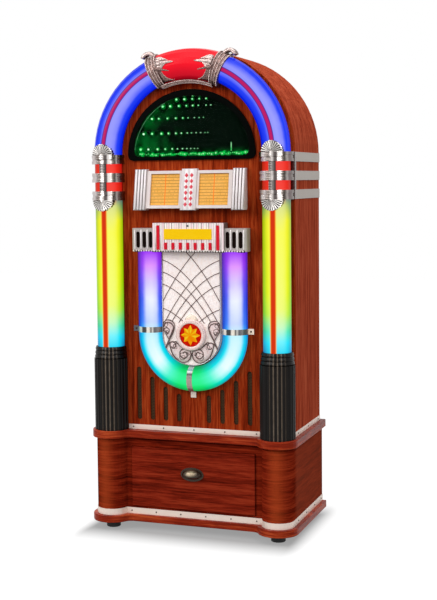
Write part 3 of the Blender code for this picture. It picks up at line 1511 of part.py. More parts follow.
# U-shaped tube round the grille, half round, its flat back on the panel
u_top = BLOCK_Z - GAP
u_spine = [(U_RADIUS, -GAP, u_top)]
u_spine += [(x, -GAP, z) for x, z in arc((0, U_Z), U_RADIUS, 0, -180, 28)]
u_spine.append((-U_RADIUS, -GAP, u_top))
u_tube = add("u_tube", wire_mesh("u_tube", u_spine, U_TUBE_RADIUS, 6))
u_reach = U_RADIUS + U_TUBE_RADIUS
behind_u = box_tool(
    "behind_u",
    (-u_reach - OVERRUN, -GAP, U_Z - u_reach - OVERRUN),
    (u_reach + OVERRUN, U_TUBE_RADIUS + OVERRUN, u_top + OVERRUN),
)
cut(u_tube, behind_u)
finish(u_tube, (0.10, 0.55, 1.0), 0.25)

# Three chrome bands strapped over the U tube, each with a foot on the panel beside it


def band_loop(centre, way):
    """Section of a band: a half ring over the tube with a flat foot on the side given by way."""
    inner = U_TUBE_RADIUS + GAP * 2
    outer = inner + U_BAND_THICKNESS
    base = -GAP
    half = arc((centre, base), outer, 180, 360, 14)
    half_in = arc((centre, base), inner, 360, 180, 14)
    foot = [
        (centre + outer, base - U_BAND_THICKNESS),
        (centre + outer + U_BAND_TAB, base - U_BAND_THICKNESS),
        (centre + outer + U_BAND_TAB, base),
    ]
    loop = half[:-1] + foot + half_in
    return loop if way > 0 else [(2 * centre - x, y) for x, y in loop]


BAND_Z = U_Z + U_BAND_RISE
for side, sign in (("left", -1), ("right", 1)):
    mesh = plate_mesh(f"u_band_{side}", U_BAND_WIDTH, band_loop(sign * U_RADIUS, sign))
    band = add(f"u_band_{side}", mesh, (0, 0, BAND_Z))
    finish(band, CHROME, 0.15, 1.0)
bottom_loop = [(y, -x) for x, y in band_loop(U_RADIUS - U_Z, 1)]
band = side_prism("u_band_bottom", -U_BAND_WIDTH / 2, U_BAND_WIDTH / 2, bottom_loop)
finish(band, CHROME, 0.15, 1.0)

# Grille: cloth board in the panel's opening, with a cast lattice, medallion frame and scrolls on it
grille_board = upright_plate(
    "grille_board",
    -GRILLE_PROUD,
    GRILLE_BOARD_THICKNESS - GRILLE_PROUD,
    u_outline(GRILLE_HALF_WIDTH, U_Z, GRILLE_TOP_Z),
)
finish(grille_board, (0.85, 0.76, 0.72), 0.9)

CLOTH_Y = -GRILLE_PROUD - GAP
frame_half = GRILLE_HALF_WIDTH - FRAME_WIRE
grille_casting = upright_plate(
    "grille_casting",
    CLOTH_Y - FRAME_DEPTH,
    CLOTH_Y,
    u_outline(GRILLE_HALF_WIDTH, U_Z, GRILLE_TOP_Z),
    u_outline(frame_half, U_Z, GRILLE_TOP_Z - FRAME_WIRE),
)


def in_frame(x, z):
    middle = GRILLE_HALF_WIDTH - FRAME_WIRE / 2
    if z > U_Z:
        return abs(x) <= middle and z <= GRILLE_TOP_Z - FRAME_WIRE / 2
    return math.hypot(x, z - U_Z) <= middle


def lattice_line(start_z, way):
    """A wire that leaves one side of the frame almost level and falls ever more steeply."""
    places = []
    for n in range(141):
        along = 2 * GRILLE_HALF_WIDTH * n / 140
        x = way * (along - GRILLE_HALF_WIDTH)
        z = start_z - along * LATTICE_SLOPE - along ** 2 / LATTICE_BOW
        if in_frame(x, z) and z > U_Z + LATTICE_FOOT:
            places.append((x, z))
    return places[:-1:12] + places[-1:]


def bar_in_grille(name, line, radius, resolution):
    """A round bar just clear of the cloth."""
    y = CLOTH_Y - radius * BAR_LIFT_SHARE
    return tool(name, wire_mesh(name, [(x, y, z) for x, z in line], radius, resolution))


def spiral(x, z, outer, start, turn, steps):
    """A curl that winds in from its outer end."""
    places = []
    for n in range(steps + 1):
        angle = math.radians(start + turn * n / steps)
        reach = outer * (1 - CURL_SHARE * n / steps)
        places.append((x + reach * math.cos(angle), z + reach * math.sin(angle)))
    return places


lattice = []
for side, way, wire in (("left", 1, LATTICE_WIRE), ("right", -1, LATTICE_WIRE * RIGHT_WIRE_SHARE)):
    for number, lines_down in enumerate(LATTICE_LINES):
        line = lattice_line(LATTICE_Z - LATTICE_PITCH * lines_down, way)
        lattice.append(bar_in_grille(f"lattice_{side}_{number + 1}", line, wire, 0))

# Scroll work of the right side, mirrored for the left: hook, the curl under it, leaf and volute
hook = arc((HOOK_X, U_Z + HOOK_RISE), HOOK_RADIUS, 20, 180, 8)
hook.append((HOOK_FOOT_X, U_Z - HOOK_FOOT_DROP))
scroll_lines = {
    "hook": hook,
    "curl": spiral(CURL_X, U_Z + CURL_RISE, CURL_RADIUS, 0, 380, 11),
    "leaf": spiral(LEAF_X, U_Z - LEAF_DROP, LEAF_RADIUS, 10, 330, 9),
    "volute": spiral(VOLUTE_X, U_Z - VOLUTE_DROP, VOLUTE_RADIUS, 95, -430, 13),
}
scrolls = []
for side, sign, slimmer in (("left", -1, 1), ("right", 1, RIGHT_WIRE_SHARE)):
    for name, line in scroll_lines.items():
        wire = SCROLL_WIRE * SCROLL_WIRE_SHARES[name] * slimmer
        mirrored = [(sign * x, z) for x, z in line]
        scrolls.append(bar_in_grille(f"{name}_{side}", mirrored, wire, 1))

medal_outer = MEDAL_RADIUS + GAP + MEDAL_RIM_WIDTH
medal_ring = turned(
    "medal_ring",
    [
        (MEDAL_RADIUS - FRAME_WIRE, MEDAL_RIM_DEPTH / 2),
        (MEDAL_RADIUS + MEDAL_RIM_WIDTH / 3, MEDAL_RIM_DEPTH),
        (MEDAL_RADIUS + MEDAL_RIM_WIDTH * 2 / 3, MEDAL_RIM_DEPTH),
        (medal_outer, MEDAL_RIM_DEPTH / 2),
        (medal_outer, 0),
        (MEDAL_RADIUS - FRAME_WIRE, 0),
        (MEDAL_RADIUS - FRAME_WIRE, MEDAL_RIM_DEPTH / 2),
    ],
    28,
    (0, CLOTH_Y, U_Z),
    UPRIGHT,
    home=CUTTERS,
)
medal_bore = round_mesh("medal_bore", MEDAL_RADIUS + GAP, MEDAL_RIM_DEPTH * 4, 32)
fuse(grille_casting, *scrolls, as_tool(medal_ring), *lattice)
cut(grille_casting, tool("medal_bore", medal_bore, (0, CLOTH_Y, U_Z), UPRIGHT))
finish(grille_casting, (0.25, 0.22, 0.20), 0.35, 1.0)

medallion = turned(
    "medallion_lens",
    [
        (0, MEDAL_RIM_DEPTH / 2 + MEDAL_DOME),
        (MEDAL_RADIUS * 0.5, MEDAL_RIM_DEPTH / 2 + MEDAL_DOME * 0.80),
        (MEDAL_RADIUS * 0.85, MEDAL_RIM_DEPTH / 2 + MEDAL_DOME * 0.35),
        (MEDAL_RADIUS, MEDAL_RIM_DEPTH / 2),
        (MEDAL_RADIUS, 0),
        (0, 0),
    ],
    32,
    (0, CLOTH_Y, U_Z),
    UPRIGHT,
)
finish(medallion, (0.85, 0.02, 0.01), 0.2)

# Console: a hollow moulding over the grille, vents in its wings, keys through its reeded block
wing_outline = [
    (CONSOLE_HALF_WIDTH, -GAP),
    *arc((CONSOLE_HALF_WIDTH - WING_EDGE, WING_EDGE - WING_DEPTH), WING_EDGE, 0, -90, 4),
]
wing_outline += [(-x, y) for x, y in reversed(wing_outline)]
console = level_plate("console_body", CONSOLE_Z, CONSOLE_Z + WING_HEIGHT, wing_outline)
fuse(
    console,
    box_tool(
        "console_block",
        (-BLOCK_HALF_WIDTH, -BLOCK_DEPTH, BLOCK_Z),
        (BLOCK_HALF_WIDTH, -GAP, BLOCK_Z + BLOCK_HEIGHT),
    ),
)
wing_inner = CONSOLE_HALF_WIDTH - CONSOLE_WALL
cut(
    console,
    box_tool(
        "wing_hollow",
        (-wing_inner, CONSOLE_WALL - WING_DEPTH, CONSOLE_Z + CONSOLE_WALL),
        (wing_inner, OVERRUN, CONSOLE_Z + WING_HEIGHT - CONSOLE_WALL),
    ),
    box_tool(
        "block_hollow",
        (CONSOLE_WALL - BLOCK_HALF_WIDTH, CONSOLE_WALL - BLOCK_DEPTH, CONSOLE_Z + CONSOLE_WALL),
        (BLOCK_HALF_WIDTH - CONSOLE_WALL, OVERRUN, BLOCK_Z + BLOCK_HEIGHT - CONSOLE_WALL),
    ),
)
for side, sign in (("left", -1), ("right", 1)):
    for number in range(3):
        vent_x = sign * (BLOCK_HALF_WIDTH + VENT_MARGIN + VENT_PITCH * number)
        loop = capsule(
            vent_x, CONSOLE_Z + VENT_MARGIN, CONSOLE_Z + WING_HEIGHT - VENT_MARGIN, VENT_HALF_WIDTH
        )
        vent = upright_tool(
            f"vent_{side}_{number + 1}", -WING_DEPTH - OVERRUN, OVERRUN - WING_DEPTH, loop
        )
        cut(console, vent)
reeds = int(BLOCK_HALF_WIDTH * 2 / REED_PITCH)
for number in range(1, reeds):
    reed_x = REED_PITCH * (number - reeds / 2)
    groove = box_tool(
        f"reed_{number}",
        (reed_x - REED_GROOVE / 2, -BLOCK_DEPTH - OVERRUN, BLOCK_Z - OVERRUN),
        (reed_x + REED_GROOVE / 2, REED_GROOVE / 2 - BLOCK_DEPTH, BLOCK_Z + BLOCK_HEIGHT + OVERRUN),
    )
    cut(console, groove)
KEY_Z = BLOCK_Z + KEY_RISE
KEY_FACE_Y = -BLOCK_DEPTH - KEY_PROUD
for number in range(KEY_COUNT):
    key_x = KEY_PITCH * (number - (KEY_COUNT - 1) / 2)
    hole_half = KEY_HALF_WIDTH + KEY_PLAY
    hole_top_z = KEY_Z + KEY_HEIGHT + KEY_PLAY
    cut(
        console,
        box_tool(
            f"key_hole_{number + 1}",
            (key_x - hole_half, -BLOCK_DEPTH - OVERRUN, KEY_Z - KEY_PLAY),
            (key_x + hole_half, CONSOLE_WALL + OVERRUN - BLOCK_DEPTH, hole_top_z),
        ),
    )
    key_slide = empty(f"key_{number + 1}_slide", (key_x, KEY_FACE_Y, KEY_Z), STAND)
    key = box(
        f"selector_key_{number + 1}",
        (key_x - KEY_HALF_WIDTH, KEY_FACE_Y, KEY_Z),
        (key_x + KEY_HALF_WIDTH, KEY_FACE_Y + KEY_LENGTH, KEY_Z + KEY_HEIGHT),
        key_slide,
    )
    eased = key.modifiers.new("edge", "BEVEL")
    eased.width = KEY_EDGE
    eased.segments = 1
    finish(key, (0.65, 0.005, 0.02), 0.25)
finish(console, IVORY, 0.3)

sign_plate = box(
    "console_sign",
    (-SIGN_HALF_WIDTH, -BLOCK_DEPTH - GAP - SIGN_THICKNESS, BLOCK_Z + SIGN_RISE),
    (SIGN_HALF_WIDTH, -BLOCK_DEPTH - GAP, BLOCK_Z + SIGN_RISE + SIGN_HEIGHT),
)
finish(sign_plate, (1.0, 0.52, 0.0), 0.3)
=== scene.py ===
import math
import random

import bpy
from mathutils import Matrix, Vector


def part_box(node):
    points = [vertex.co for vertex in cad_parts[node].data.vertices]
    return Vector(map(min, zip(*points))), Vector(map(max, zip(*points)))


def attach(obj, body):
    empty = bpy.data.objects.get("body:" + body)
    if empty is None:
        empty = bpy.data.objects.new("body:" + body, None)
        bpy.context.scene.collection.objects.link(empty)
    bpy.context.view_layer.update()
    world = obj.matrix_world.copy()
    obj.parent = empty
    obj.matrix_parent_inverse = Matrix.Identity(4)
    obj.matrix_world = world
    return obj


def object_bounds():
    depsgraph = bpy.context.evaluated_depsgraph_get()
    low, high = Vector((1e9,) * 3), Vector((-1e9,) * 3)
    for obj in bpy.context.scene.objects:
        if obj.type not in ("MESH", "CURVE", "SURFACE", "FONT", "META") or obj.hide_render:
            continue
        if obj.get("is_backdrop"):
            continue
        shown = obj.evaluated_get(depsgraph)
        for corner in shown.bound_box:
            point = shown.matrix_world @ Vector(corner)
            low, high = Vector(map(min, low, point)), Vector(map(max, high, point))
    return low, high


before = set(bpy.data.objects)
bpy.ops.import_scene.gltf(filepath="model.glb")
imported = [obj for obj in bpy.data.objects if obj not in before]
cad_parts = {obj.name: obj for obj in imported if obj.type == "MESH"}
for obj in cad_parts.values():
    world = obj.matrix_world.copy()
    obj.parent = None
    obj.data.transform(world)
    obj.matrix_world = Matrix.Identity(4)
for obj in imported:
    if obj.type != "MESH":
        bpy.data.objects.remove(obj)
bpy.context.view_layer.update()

# Camera
# The photograph was taken from the jukebox's right hand front, a little over
# three and a half metres away and level with the title panel.
CAMERA_TURN = math.radians(21.163)
CAMERA_PITCH = 0.0714
CAMERA_ROLL = 0.0121
CAMERA_PLACE = (1.2072, -3.4560, 1.0028)

level = Vector((-math.sin(CAMERA_TURN), math.cos(CAMERA_TURN), 0))
across = Vector((math.cos(CAMERA_TURN), math.sin(CAMERA_TURN), 0))
ahead = level * math.cos(CAMERA_PITCH) - Vector((0, 0, 1)) * math.sin(CAMERA_PITCH)
upward = Vector((0, 0, 1)) * math.cos(CAMERA_PITCH) + level * math.sin(CAMERA_PITCH)
camera_x = across * math.cos(CAMERA_ROLL) - upward * math.sin(CAMERA_ROLL)
camera_y = across * math.sin(CAMERA_ROLL) + upward * math.cos(CAMERA_ROLL)
lens = bpy.data.cameras.new("camera")
lens.sensor_fit = "VERTICAL"
lens.sensor_height = 36
lens.lens = 75.41
lens.shift_x = 0.0892
lens.shift_y = -0.0467
lens.clip_end = 60
camera = bpy.data.objects.new("camera", lens)
camera.matrix_world = Matrix.Translation(CAMERA_PLACE) @ Matrix(
    (camera_x, camera_y, -ahead)
).transposed().to_4x4()
bpy.context.scene.collection.objects.link(camera)
bpy.context.scene.camera = camera

# Studio
# A white sweep of paper under two big soft lamps. The paper shows as white to
# the camera and in polished metal, and keeps the soft shadow of the stand,
# deepened by a painted shadow where its own light is dimmed round the stand.


def feed(tree, sockets, values):
    """Gives each named input a plain value or the output that feeds it."""
    for key, value in values.items():
        if isinstance(value, bpy.types.NodeSocket):
            tree.links.new(value, sockets[key])
        else:
            sockets[key].default_value = value


def put(tree, kind, sockets=None, **settings):
    """Adds a shader node with its inputs fed."""
    node = tree.nodes.new("ShaderNode" + kind)
    for name, value in settings.items():
        setattr(node, name, value)
    feed(tree, node.inputs, sockets or {})
    return node


def maths(tree, operation, first, second=0.0, clamp=False):
    """One step of arithmetic on values or outputs."""
    return put(tree, "Math", {0: first, 1: second}, operation=operation, use_clamp=clamp).outputs[0]


def plus(tree, first, second, clamp=False):
    return maths(tree, "ADD", first, second, clamp)


def minus(tree, first, second):
    return maths(tree, "SUBTRACT", first, second)


def product(tree, first, *others):
    for other in others:
        first = maths(tree, "MULTIPLY", first, other)
    return first


def scaled(tree, value, factor, start, clamp=False):
    """The value times a factor, added to a start."""
    return put(
        tree, "Math", {0: value, 1: factor, 2: start}, operation="MULTIPLY_ADD", use_clamp=clamp
    ).outputs[0]


def axes(tree, place=None):
    """The X, Y and Z of a place, or of each point of the piece itself."""
    if place is None:
        place = put(tree, "TexCoord").outputs["Object"]
    return put(tree, "SeparateXYZ", {0: place}).outputs


def length(tree, **sides):
    """The length of a vector from its X, Y and Z."""
    vector = put(tree, "CombineXYZ", sides).outputs[0]
    return put(tree, "VectorMath", {0: vector}, operation="LENGTH").outputs["Value"]


def unseen_white(tree):
    """1 for camera, glossy and transmission rays, 0 for the light that falls on things."""
    path = put(tree, "LightPath")
    seen = plus(tree, path.outputs["Is Camera Ray"], path.outputs["Is Glossy Ray"], True)
    return plus(tree, seen, path.outputs["Is Transmission Ray"], True)


bpy.context.scene.view_settings.view_transform = "Standard"
world = bpy.data.worlds.new("studio")
world.use_nodes = True
bpy.context.scene.world = world
sky = world.node_tree
sky.nodes.clear()
# The sky lights things less brightly than it shows to the camera
SKY_LIGHT = 0.58
SKY_SEEN_MORE = 0.42
glare = scaled(sky, unseen_white(sky), SKY_SEEN_MORE, SKY_LIGHT)
backdrop = put(sky, "Background", {"Color": (1, 1, 1, 1), "Strength": glare})
put(sky, "OutputWorld", {"Surface": backdrop.outputs[0]})

PAPER_SIZE = 9.0
paper_mesh = bpy.data.meshes.new("paper")
paper_mesh.from_pydata(
    [(x * PAPER_SIZE, y * PAPER_SIZE, 0) for x, y in ((-1, -1), (1, -1), (1, 1), (-1, 1))],
    [],
    [(0, 1, 2, 3)],
)
paper = bpy.data.objects.new("paper", paper_mesh)
bpy.context.scene.collection.objects.link(paper)
paper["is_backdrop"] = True
paper_white = bpy.data.materials.new("paper_white")
paper_white.use_nodes = True
tree = paper_white.node_tree
# Painted shadow: the paper's own light rises from little under the stand to full white a little way out
STAND_RIGHT_X = 0.29
STAND_LEFT_X = -0.30
STAND_HALF_DEPTH = 0.17
SHADOW_REACH = 0.15
LEFT_NARROWING = 1.3
SIDE_NARROWING = 2.6
PAPER_STRENGTH = 0.93
spot = axes(tree)
off_right = minus(tree, spot["X"], STAND_RIGHT_X)
off_left = product(tree, minus(tree, STAND_LEFT_X, spot["X"]), LEFT_NARROWING)
off_side = maths(tree, "MAXIMUM", maths(tree, "MAXIMUM", off_right, off_left), 0.0)
off_front = minus(tree, maths(tree, "ABSOLUTE", spot["Y"]), STAND_HALF_DEPTH)
off_front = maths(tree, "MAXIMUM", off_front, 0.0)
glow_outside_painted_shadow = put(
    tree,
    "MapRange",
    {
        "Value": length(tree, X=product(tree, off_side, SIDE_NARROWING), Y=off_front),
        "From Min": -0.05,
        "From Max": SHADOW_REACH,
        "To Min": 0.22,
    },
    interpolation_type="SMOOTHSTEP",
).outputs["Result"]
feed(tree, tree.nodes["Principled BSDF"].inputs, {
    "Base Color": (0.14, 0.14, 0.14, 1),
    "Roughness": 0.9,
    "Specular IOR Level": 0.0,
    "Emission Color": (1, 1, 1, 1),
    "Emission Strength": product(tree, unseen_white(tree), PAPER_STRENGTH, glow_outside_painted_shadow),
})
paper_mesh.materials.append(paper_white)

for name, place, size, power in (
    ("lamp_left", (-2.6, -3.2, 2.6), 2.2, 92),
    ("lamp_right", (2.8, -2.6, 2.4), 1.8, 42),
    ("lamp_top", (0.2, -0.4, 3.6), 2.4, 40),
):
    lamp = bpy.data.lights.new(name, "AREA")
    lamp.size = size
    lamp.energy = power
    holder = bpy.data.objects.new(name, lamp)
    holder.location = place
    aim = Vector((0, 0, 0.7)) - Vector(place)
    holder.rotation_euler = aim.to_track_quat("-Z", "Y").to_euler()
    bpy.context.scene.collection.objects.link(holder)

# Stand carcass and its two moulded boards
# Board with a red-brown veneer under clear lacquer, the grain laid level, and
# rounded pilasters at the front corners. The boards are screwed on from inside.


def colour(red, green, blue):
    """A display colour of 0 to 255 a channel as the linear colour that sockets take."""
    parts = [c / 255 for c in (red, green, blue)]
    return tuple(c / 12.92 if c <= 0.04045 else ((c + 0.055) / 1.055) ** 2.4 for c in parts) + (1.0,)


def mixed(tree, amount, first, second, way="MIX"):
    """Two colours mixed."""
    sockets = {0: amount, 6: first, 7: second}
    return put(tree, "Mix", sockets, data_type="RGBA", blend_type=way).outputs[2]


def step_between(tree, value, low, high):
    """0 up to low, 1 from high on, and a smooth rise between."""
    sockets = {"Value": value, "From Min": low, "From Max": high}
    return put(tree, "MapRange", sockets, interpolation_type="SMOOTHSTEP").outputs["Result"]


def fall_between(tree, value, low, high):
    """1 up to low, 0 from high on, and a smooth fall between."""
    return minus(tree, 1.0, step_between(tree, value, low, high))


def stretched(tree, place, factors):
    """A place with each axis multiplied, which draws a pattern out along the axis with the least factor."""
    return put(tree, "VectorMath", {0: place, 1: factors}, operation="MULTIPLY").outputs[0]


def noise(tree, place, scale, detail, roughness=0.5):
    """A cloudy value from 0 to 1."""
    sockets = {"Vector": place, "Scale": scale, "Detail": detail, "Roughness": roughness}
    return put(tree, "TexNoise", sockets).outputs["Fac"]


def effect(name, colours, values, vectors=(), outputs=("Colour", "Roughness", "Height")):
    """Starts a node group with named sockets and gives its tree, what comes in and what goes out."""
    group = bpy.data.node_groups.new(name, "ShaderNodeTree")
    sockets = [(label, "INPUT", "NodeSocketColor") for label in colours]
    sockets += [(label, "INPUT", "NodeSocketFloat") for label in values]
    sockets += [(label, "INPUT", "NodeSocketVector") for label in ("Place", *vectors)]
    for label in outputs:
        plain = label in ("Roughness", "Height")
        sockets.append((label, "OUTPUT", "NodeSocketFloat" if plain else "NodeSocketColor"))
    for label, way, kind in sockets:
        group.interface.new_socket(label, in_out=way, socket_type=kind)
    return group, group.nodes.new("NodeGroupInput").outputs, group.nodes.new("NodeGroupOutput").inputs


def finish(name, group, values, bump=0.0, **plain):
    """A material whose colour, roughness and relief come from a group, and whose other sockets are plain."""
    material = bpy.data.materials.new(name)
    material.use_nodes = True
    tree = material.node_tree
    shader = tree.nodes["Principled BSDF"]
    feed(tree, shader.inputs, {key.replace("_", " "): value for key, value in plain.items()})
    surface = put(tree, "Group", node_tree=group)
    feed(tree, surface.inputs, values | {"Place": put(tree, "TexCoord").outputs["Object"]})
    for label, socket in (("Colour", "Base Color"), ("Roughness", "Roughness"), ("Light", "Emission Color")):
        if label in surface.outputs:
            tree.links.new(surface.outputs[label], shader.inputs[socket])
    if bump and "Height" in surface.outputs:
        relief = put(tree, "Bump", {"Height": surface.outputs["Height"], "Distance": bump})
        tree.links.new(relief.outputs[0], shader.inputs["Normal"])
    return material


def tint_over(tree, amount, shade):
    """Lays one more display colour over the colour of a finished material."""
    base = tree.nodes["Principled BSDF"].inputs["Base Color"]
    tree.links.new(mixed(tree, amount, base.links[0].from_socket, colour(*shade)), base)


def dress(material, *names):
    """Gives CAD nodes their finish."""
    for name in names:
        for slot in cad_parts[name].material_slots:
            slot.material = material


# Veneer: long fibres, broad dark figure and short open pores, in the colours it is given
veneer, source, sink = effect("veneer", ("Dark", "Middle", "Pale"), (), vectors=("Fibre",))
along = stretched(veneer, source["Place"], source["Fibre"])
sway = put(veneer, "TexNoise", {"Vector": along, "Scale": 6.0, "Detail": 3.0, "Roughness": 0.5})
bent = put(
    veneer,
    "VectorMath",
    {0: sway.outputs["Color"], 1: (0.05, 0.05, 0.05), 2: along},
    operation="MULTIPLY_ADD",
).outputs[0]
fibres = noise(veneer, bent, 260.0, 8.0, 0.66)
figure = noise(veneer, bent, 62.0, 5.0, 0.58)
pores = noise(veneer, bent, 420.0, 2.0, 0.5)
tone = plus(veneer, product(veneer, fibres, 0.55), product(veneer, figure, 0.45))
tone = step_between(veneer, tone, 0.34, 0.66)
lower = mixed(veneer, scaled(veneer, tone, 2.0, 0.0, True), source["Dark"], source["Middle"])
upper = mixed(veneer, scaled(veneer, tone, 2.0, -1.0, True), lower, source["Pale"])
open_pores = step_between(veneer, pores, 0.60, 0.72)
feed(veneer, sink, {
    "Colour": mixed(veneer, product(veneer, open_pores, 0.45), upper, source["Dark"]),
    "Roughness": scaled(veneer, figure, 0.16, 0.24),
    "Height": minus(veneer, fibres, product(veneer, open_pores, 0.6)),
})


def veneer_finish(name, fibre, dark, middle, pale, bump=0.0004, **plain):
    """Veneer in three display colours, its grain drawn out along the axis with the least factor."""
    values = {"Fibre": fibre, "Dark": colour(*dark), "Middle": colour(*middle), "Pale": colour(*pale)}
    return finish(name, veneer, values, bump, **plain)


LEVEL_GRAIN = (0.055, 0.055, 1.0)
UPRIGHT_GRAIN = (1.0, 1.0, 0.05)
LACQUER = {"Specular_IOR_Level": 0.05}
SIDE_LACQUER = {"Specular_IOR_Level": 0.0}
stand_veneer = veneer_finish(
    "stand_veneer", LEVEL_GRAIN, (72, 14, 6), (124, 32, 14), (156, 52, 26), **SIDE_LACQUER
)
board_veneer = veneer_finish(
    "board_veneer", LEVEL_GRAIN, (104, 24, 10), (150, 44, 20), (196, 84, 44), 0.0003, **LACQUER
)
# Painted light: a highlight painted down the middle of each pilaster, and the sides painted paler as if more
# brightly lit
PILASTER_X = 0.2565
PILASTER_HALF = 0.036
tree = stand_veneer.node_tree
spot = axes(tree)
off_middle = maths(tree, "ABSOLUTE", minus(tree, maths(tree, "ABSOLUTE", spot["X"]), PILASTER_X))
pilaster_painted_highlight = fall_between(tree, off_middle, 0.0, PILASTER_HALF)
on_front = maths(tree, "LESS_THAN", spot["Y"], -0.140)
side_painted_light = step_between(tree, spot["Y"], -0.130, -0.090)
# The sides are painted paler, as if lit more brightly
tint_over(tree, product(tree, side_painted_light, 0.34), (176, 88, 62))
tint_over(tree, product(tree, pilaster_painted_highlight, on_front, 0.30), (214, 92, 44))
dress(stand_veneer, "stand_carcass")
dress(board_veneer, "plinth_board", "stand_top_board")

# Feet
# Four moulded rubber feet, each screwed up into the plinth board.

# Handling: fine scratches, a little mottling and rubbed patches, for moulded and metal pieces
handled, source, sink = effect("handled", ("Body", "Rubbed"), ("Grain", "Amount", "Polish", "Unevenness"))
clouds = noise(handled, source["Place"], 14.0, 5.0, 0.6)
speck = noise(handled, source["Place"], source["Grain"], 4.0, 0.6)
scratch_place = stretched(handled, source["Place"], (1.0, 1.0, 9.0))
scratch = noise(handled, scratch_place, 260.0, 3.0, 0.7)
cloudy = step_between(handled, clouds, 0.42, 0.68)
scratched = step_between(handled, scratch, 0.40, 0.62)
patches = product(handled, cloudy, scratched)
rub = scaled(handled, scaled(handled, speck, 0.4, patches), source["Amount"], 0.0, True)
uneven = minus(handled, plus(handled, clouds, patches), 0.5)
uneven = product(handled, uneven, source["Unevenness"])
feed(handled, sink, {
    "Colour": mixed(handled, rub, source["Body"], source["Rubbed"]),
    "Roughness": plus(handled, source["Polish"], uneven, True),
    "Height": plus(handled, speck, product(handled, scratch, 0.5)),
})


def handled_finish(
    name, body, rubbed, grain=600.0, amount=0.3, polish=0.4, unevenness=0.2, bump=0.0001, **plain
):
    """A moulded, painted or metal surface with the marks of handling, in two display colours."""
    values = {"Body": colour(*body), "Rubbed": colour(*rubbed), "Grain": grain, "Amount": amount}
    values |= {"Polish": polish, "Unevenness": unevenness}
    return finish(name, handled, values, bump, **plain)


foot_rubber = handled_finish(
    "foot_rubber", (24, 24, 25), (52, 50, 48), grain=900.0, polish=0.62, bump=0.0003
)
feet = [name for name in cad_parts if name.startswith("foot_") and "strip" not in name]
dress(foot_rubber, *feet)

# Trim strips
# Thin strips of champagne coloured aluminium, bent round the foot of the stand
# and of the cabinet and held by small raised screws.


def joined(parts):
    """One list of points and one of faces from several pairs of them."""
    points, faces = [], []
    for some_points, some_faces in parts:
        start = len(points)
        points += [tuple(p) for p in some_points]
        faces += [[start + i for i in face] for face in some_faces]
    return points, faces


def shape(name, points, faces, material, slot, body="cabinet", smooth=True):
    """A mesh piece in the object's own frame, with its finish and the body it moves with. The slot is not
    used.
    """
    mesh = bpy.data.meshes.new(name)
    mesh.from_pydata([tuple(p) for p in points], [], [tuple(f) for f in faces])
    mesh.polygons.foreach_set("use_smooth", [smooth] * len(faces))
    mesh.materials.append(material)
    piece = bpy.data.objects.new(name, mesh)
    bpy.context.scene.collection.objects.link(piece)
    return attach(piece, body)


def ring_faces(rows, sides):
    """The faces of a round skin with closed ends, whose points come ring by ring."""
    faces = []
    for row in range(rows - 1):
        for k in range(sides):
            near, far = row * sides + k, row * sides + (k + 1) % sides
            faces.append((near, far, far + sides, near + sides))
    faces.append(tuple(reversed(range(sides))))
    faces.append(tuple(range((rows - 1) * sides, rows * sides)))
    return faces


def turned(profile, place, axis, sides=16):
    """A turned solid: profile gives pairs of radius and distance along axis, from one end to the other."""
    axis = Vector(axis).normalized()
    side = axis.orthogonal().normalized()
    other = axis.cross(side)
    points = []
    for radius, along in profile:
        for k in range(sides):
            turn = math.tau * k / sides
            outward = side * math.cos(turn) + other * math.sin(turn)
            points.append(Vector(place) + axis * along + outward * radius)
    return points, ring_faces(len(profile), sides)


TO_FRONT = (0, -1, 0)
# A screw head of radius 1: its profile from foot to crown, and one bar of its recess
SCREW_HEAD = ((1.0, -0.1), (1.0, 0.25), (0.86, 0.48), (0.5, 0.62), (0.12, 0.66))
RECESS_CORNERS = ((-0.55, -0.12), (0.55, -0.12), (0.55, 0.12), (-0.55, 0.12))
RECESS_FACES = ((3, 2, 1, 0), (4, 5, 6, 7), (0, 1, 5, 4), (1, 2, 6, 5), (2, 3, 7, 6), (3, 0, 4, 7))


def screws(name, places, axis, radius, material, slot):
    """Domed screw heads with a crossed recess, as one piece."""
    axis = Vector(axis)
    side = axis.orthogonal().normalized()
    other = axis.cross(side)
    parts = []
    for place in places:
        parts.append(turned([(r * radius, t * radius) for r, t in SCREW_HEAD], place, axis, 14))
        for first, second in ((side, other), (other, side)):
            corners = []
            for lift in (0.56, 0.70):
                for a, b in RECESS_CORNERS:
                    corners.append(Vector(place) + (first * a + second * b + axis * lift) * radius)
            parts.append((corners, RECESS_FACES))
    shape(name, *joined(parts), material, slot)


champagne = handled_finish(
    "champagne_metal", (238, 220, 206), (252, 242, 234), grain=300.0, amount=0.5, polish=0.34, Metallic=0.2
)
dark_steel = handled_finish(
    "dark_steel", (66, 52, 46), (120, 104, 92), grain=900.0, amount=0.4, polish=0.35, Metallic=0.8
)
dress(champagne, "stand_trim_strip", "foot_strip_front", "foot_strip_left", "foot_strip_right")
BOTH_SIDES = (("left", -1), ("right", 1))
STRIP_SCREW_RADIUS = 0.0021


def strip_screws(name, places, axis):
    """The small screws of a strip."""
    screws(name, places, axis, STRIP_SCREW_RADIUS, dark_steel, "pale_metal")


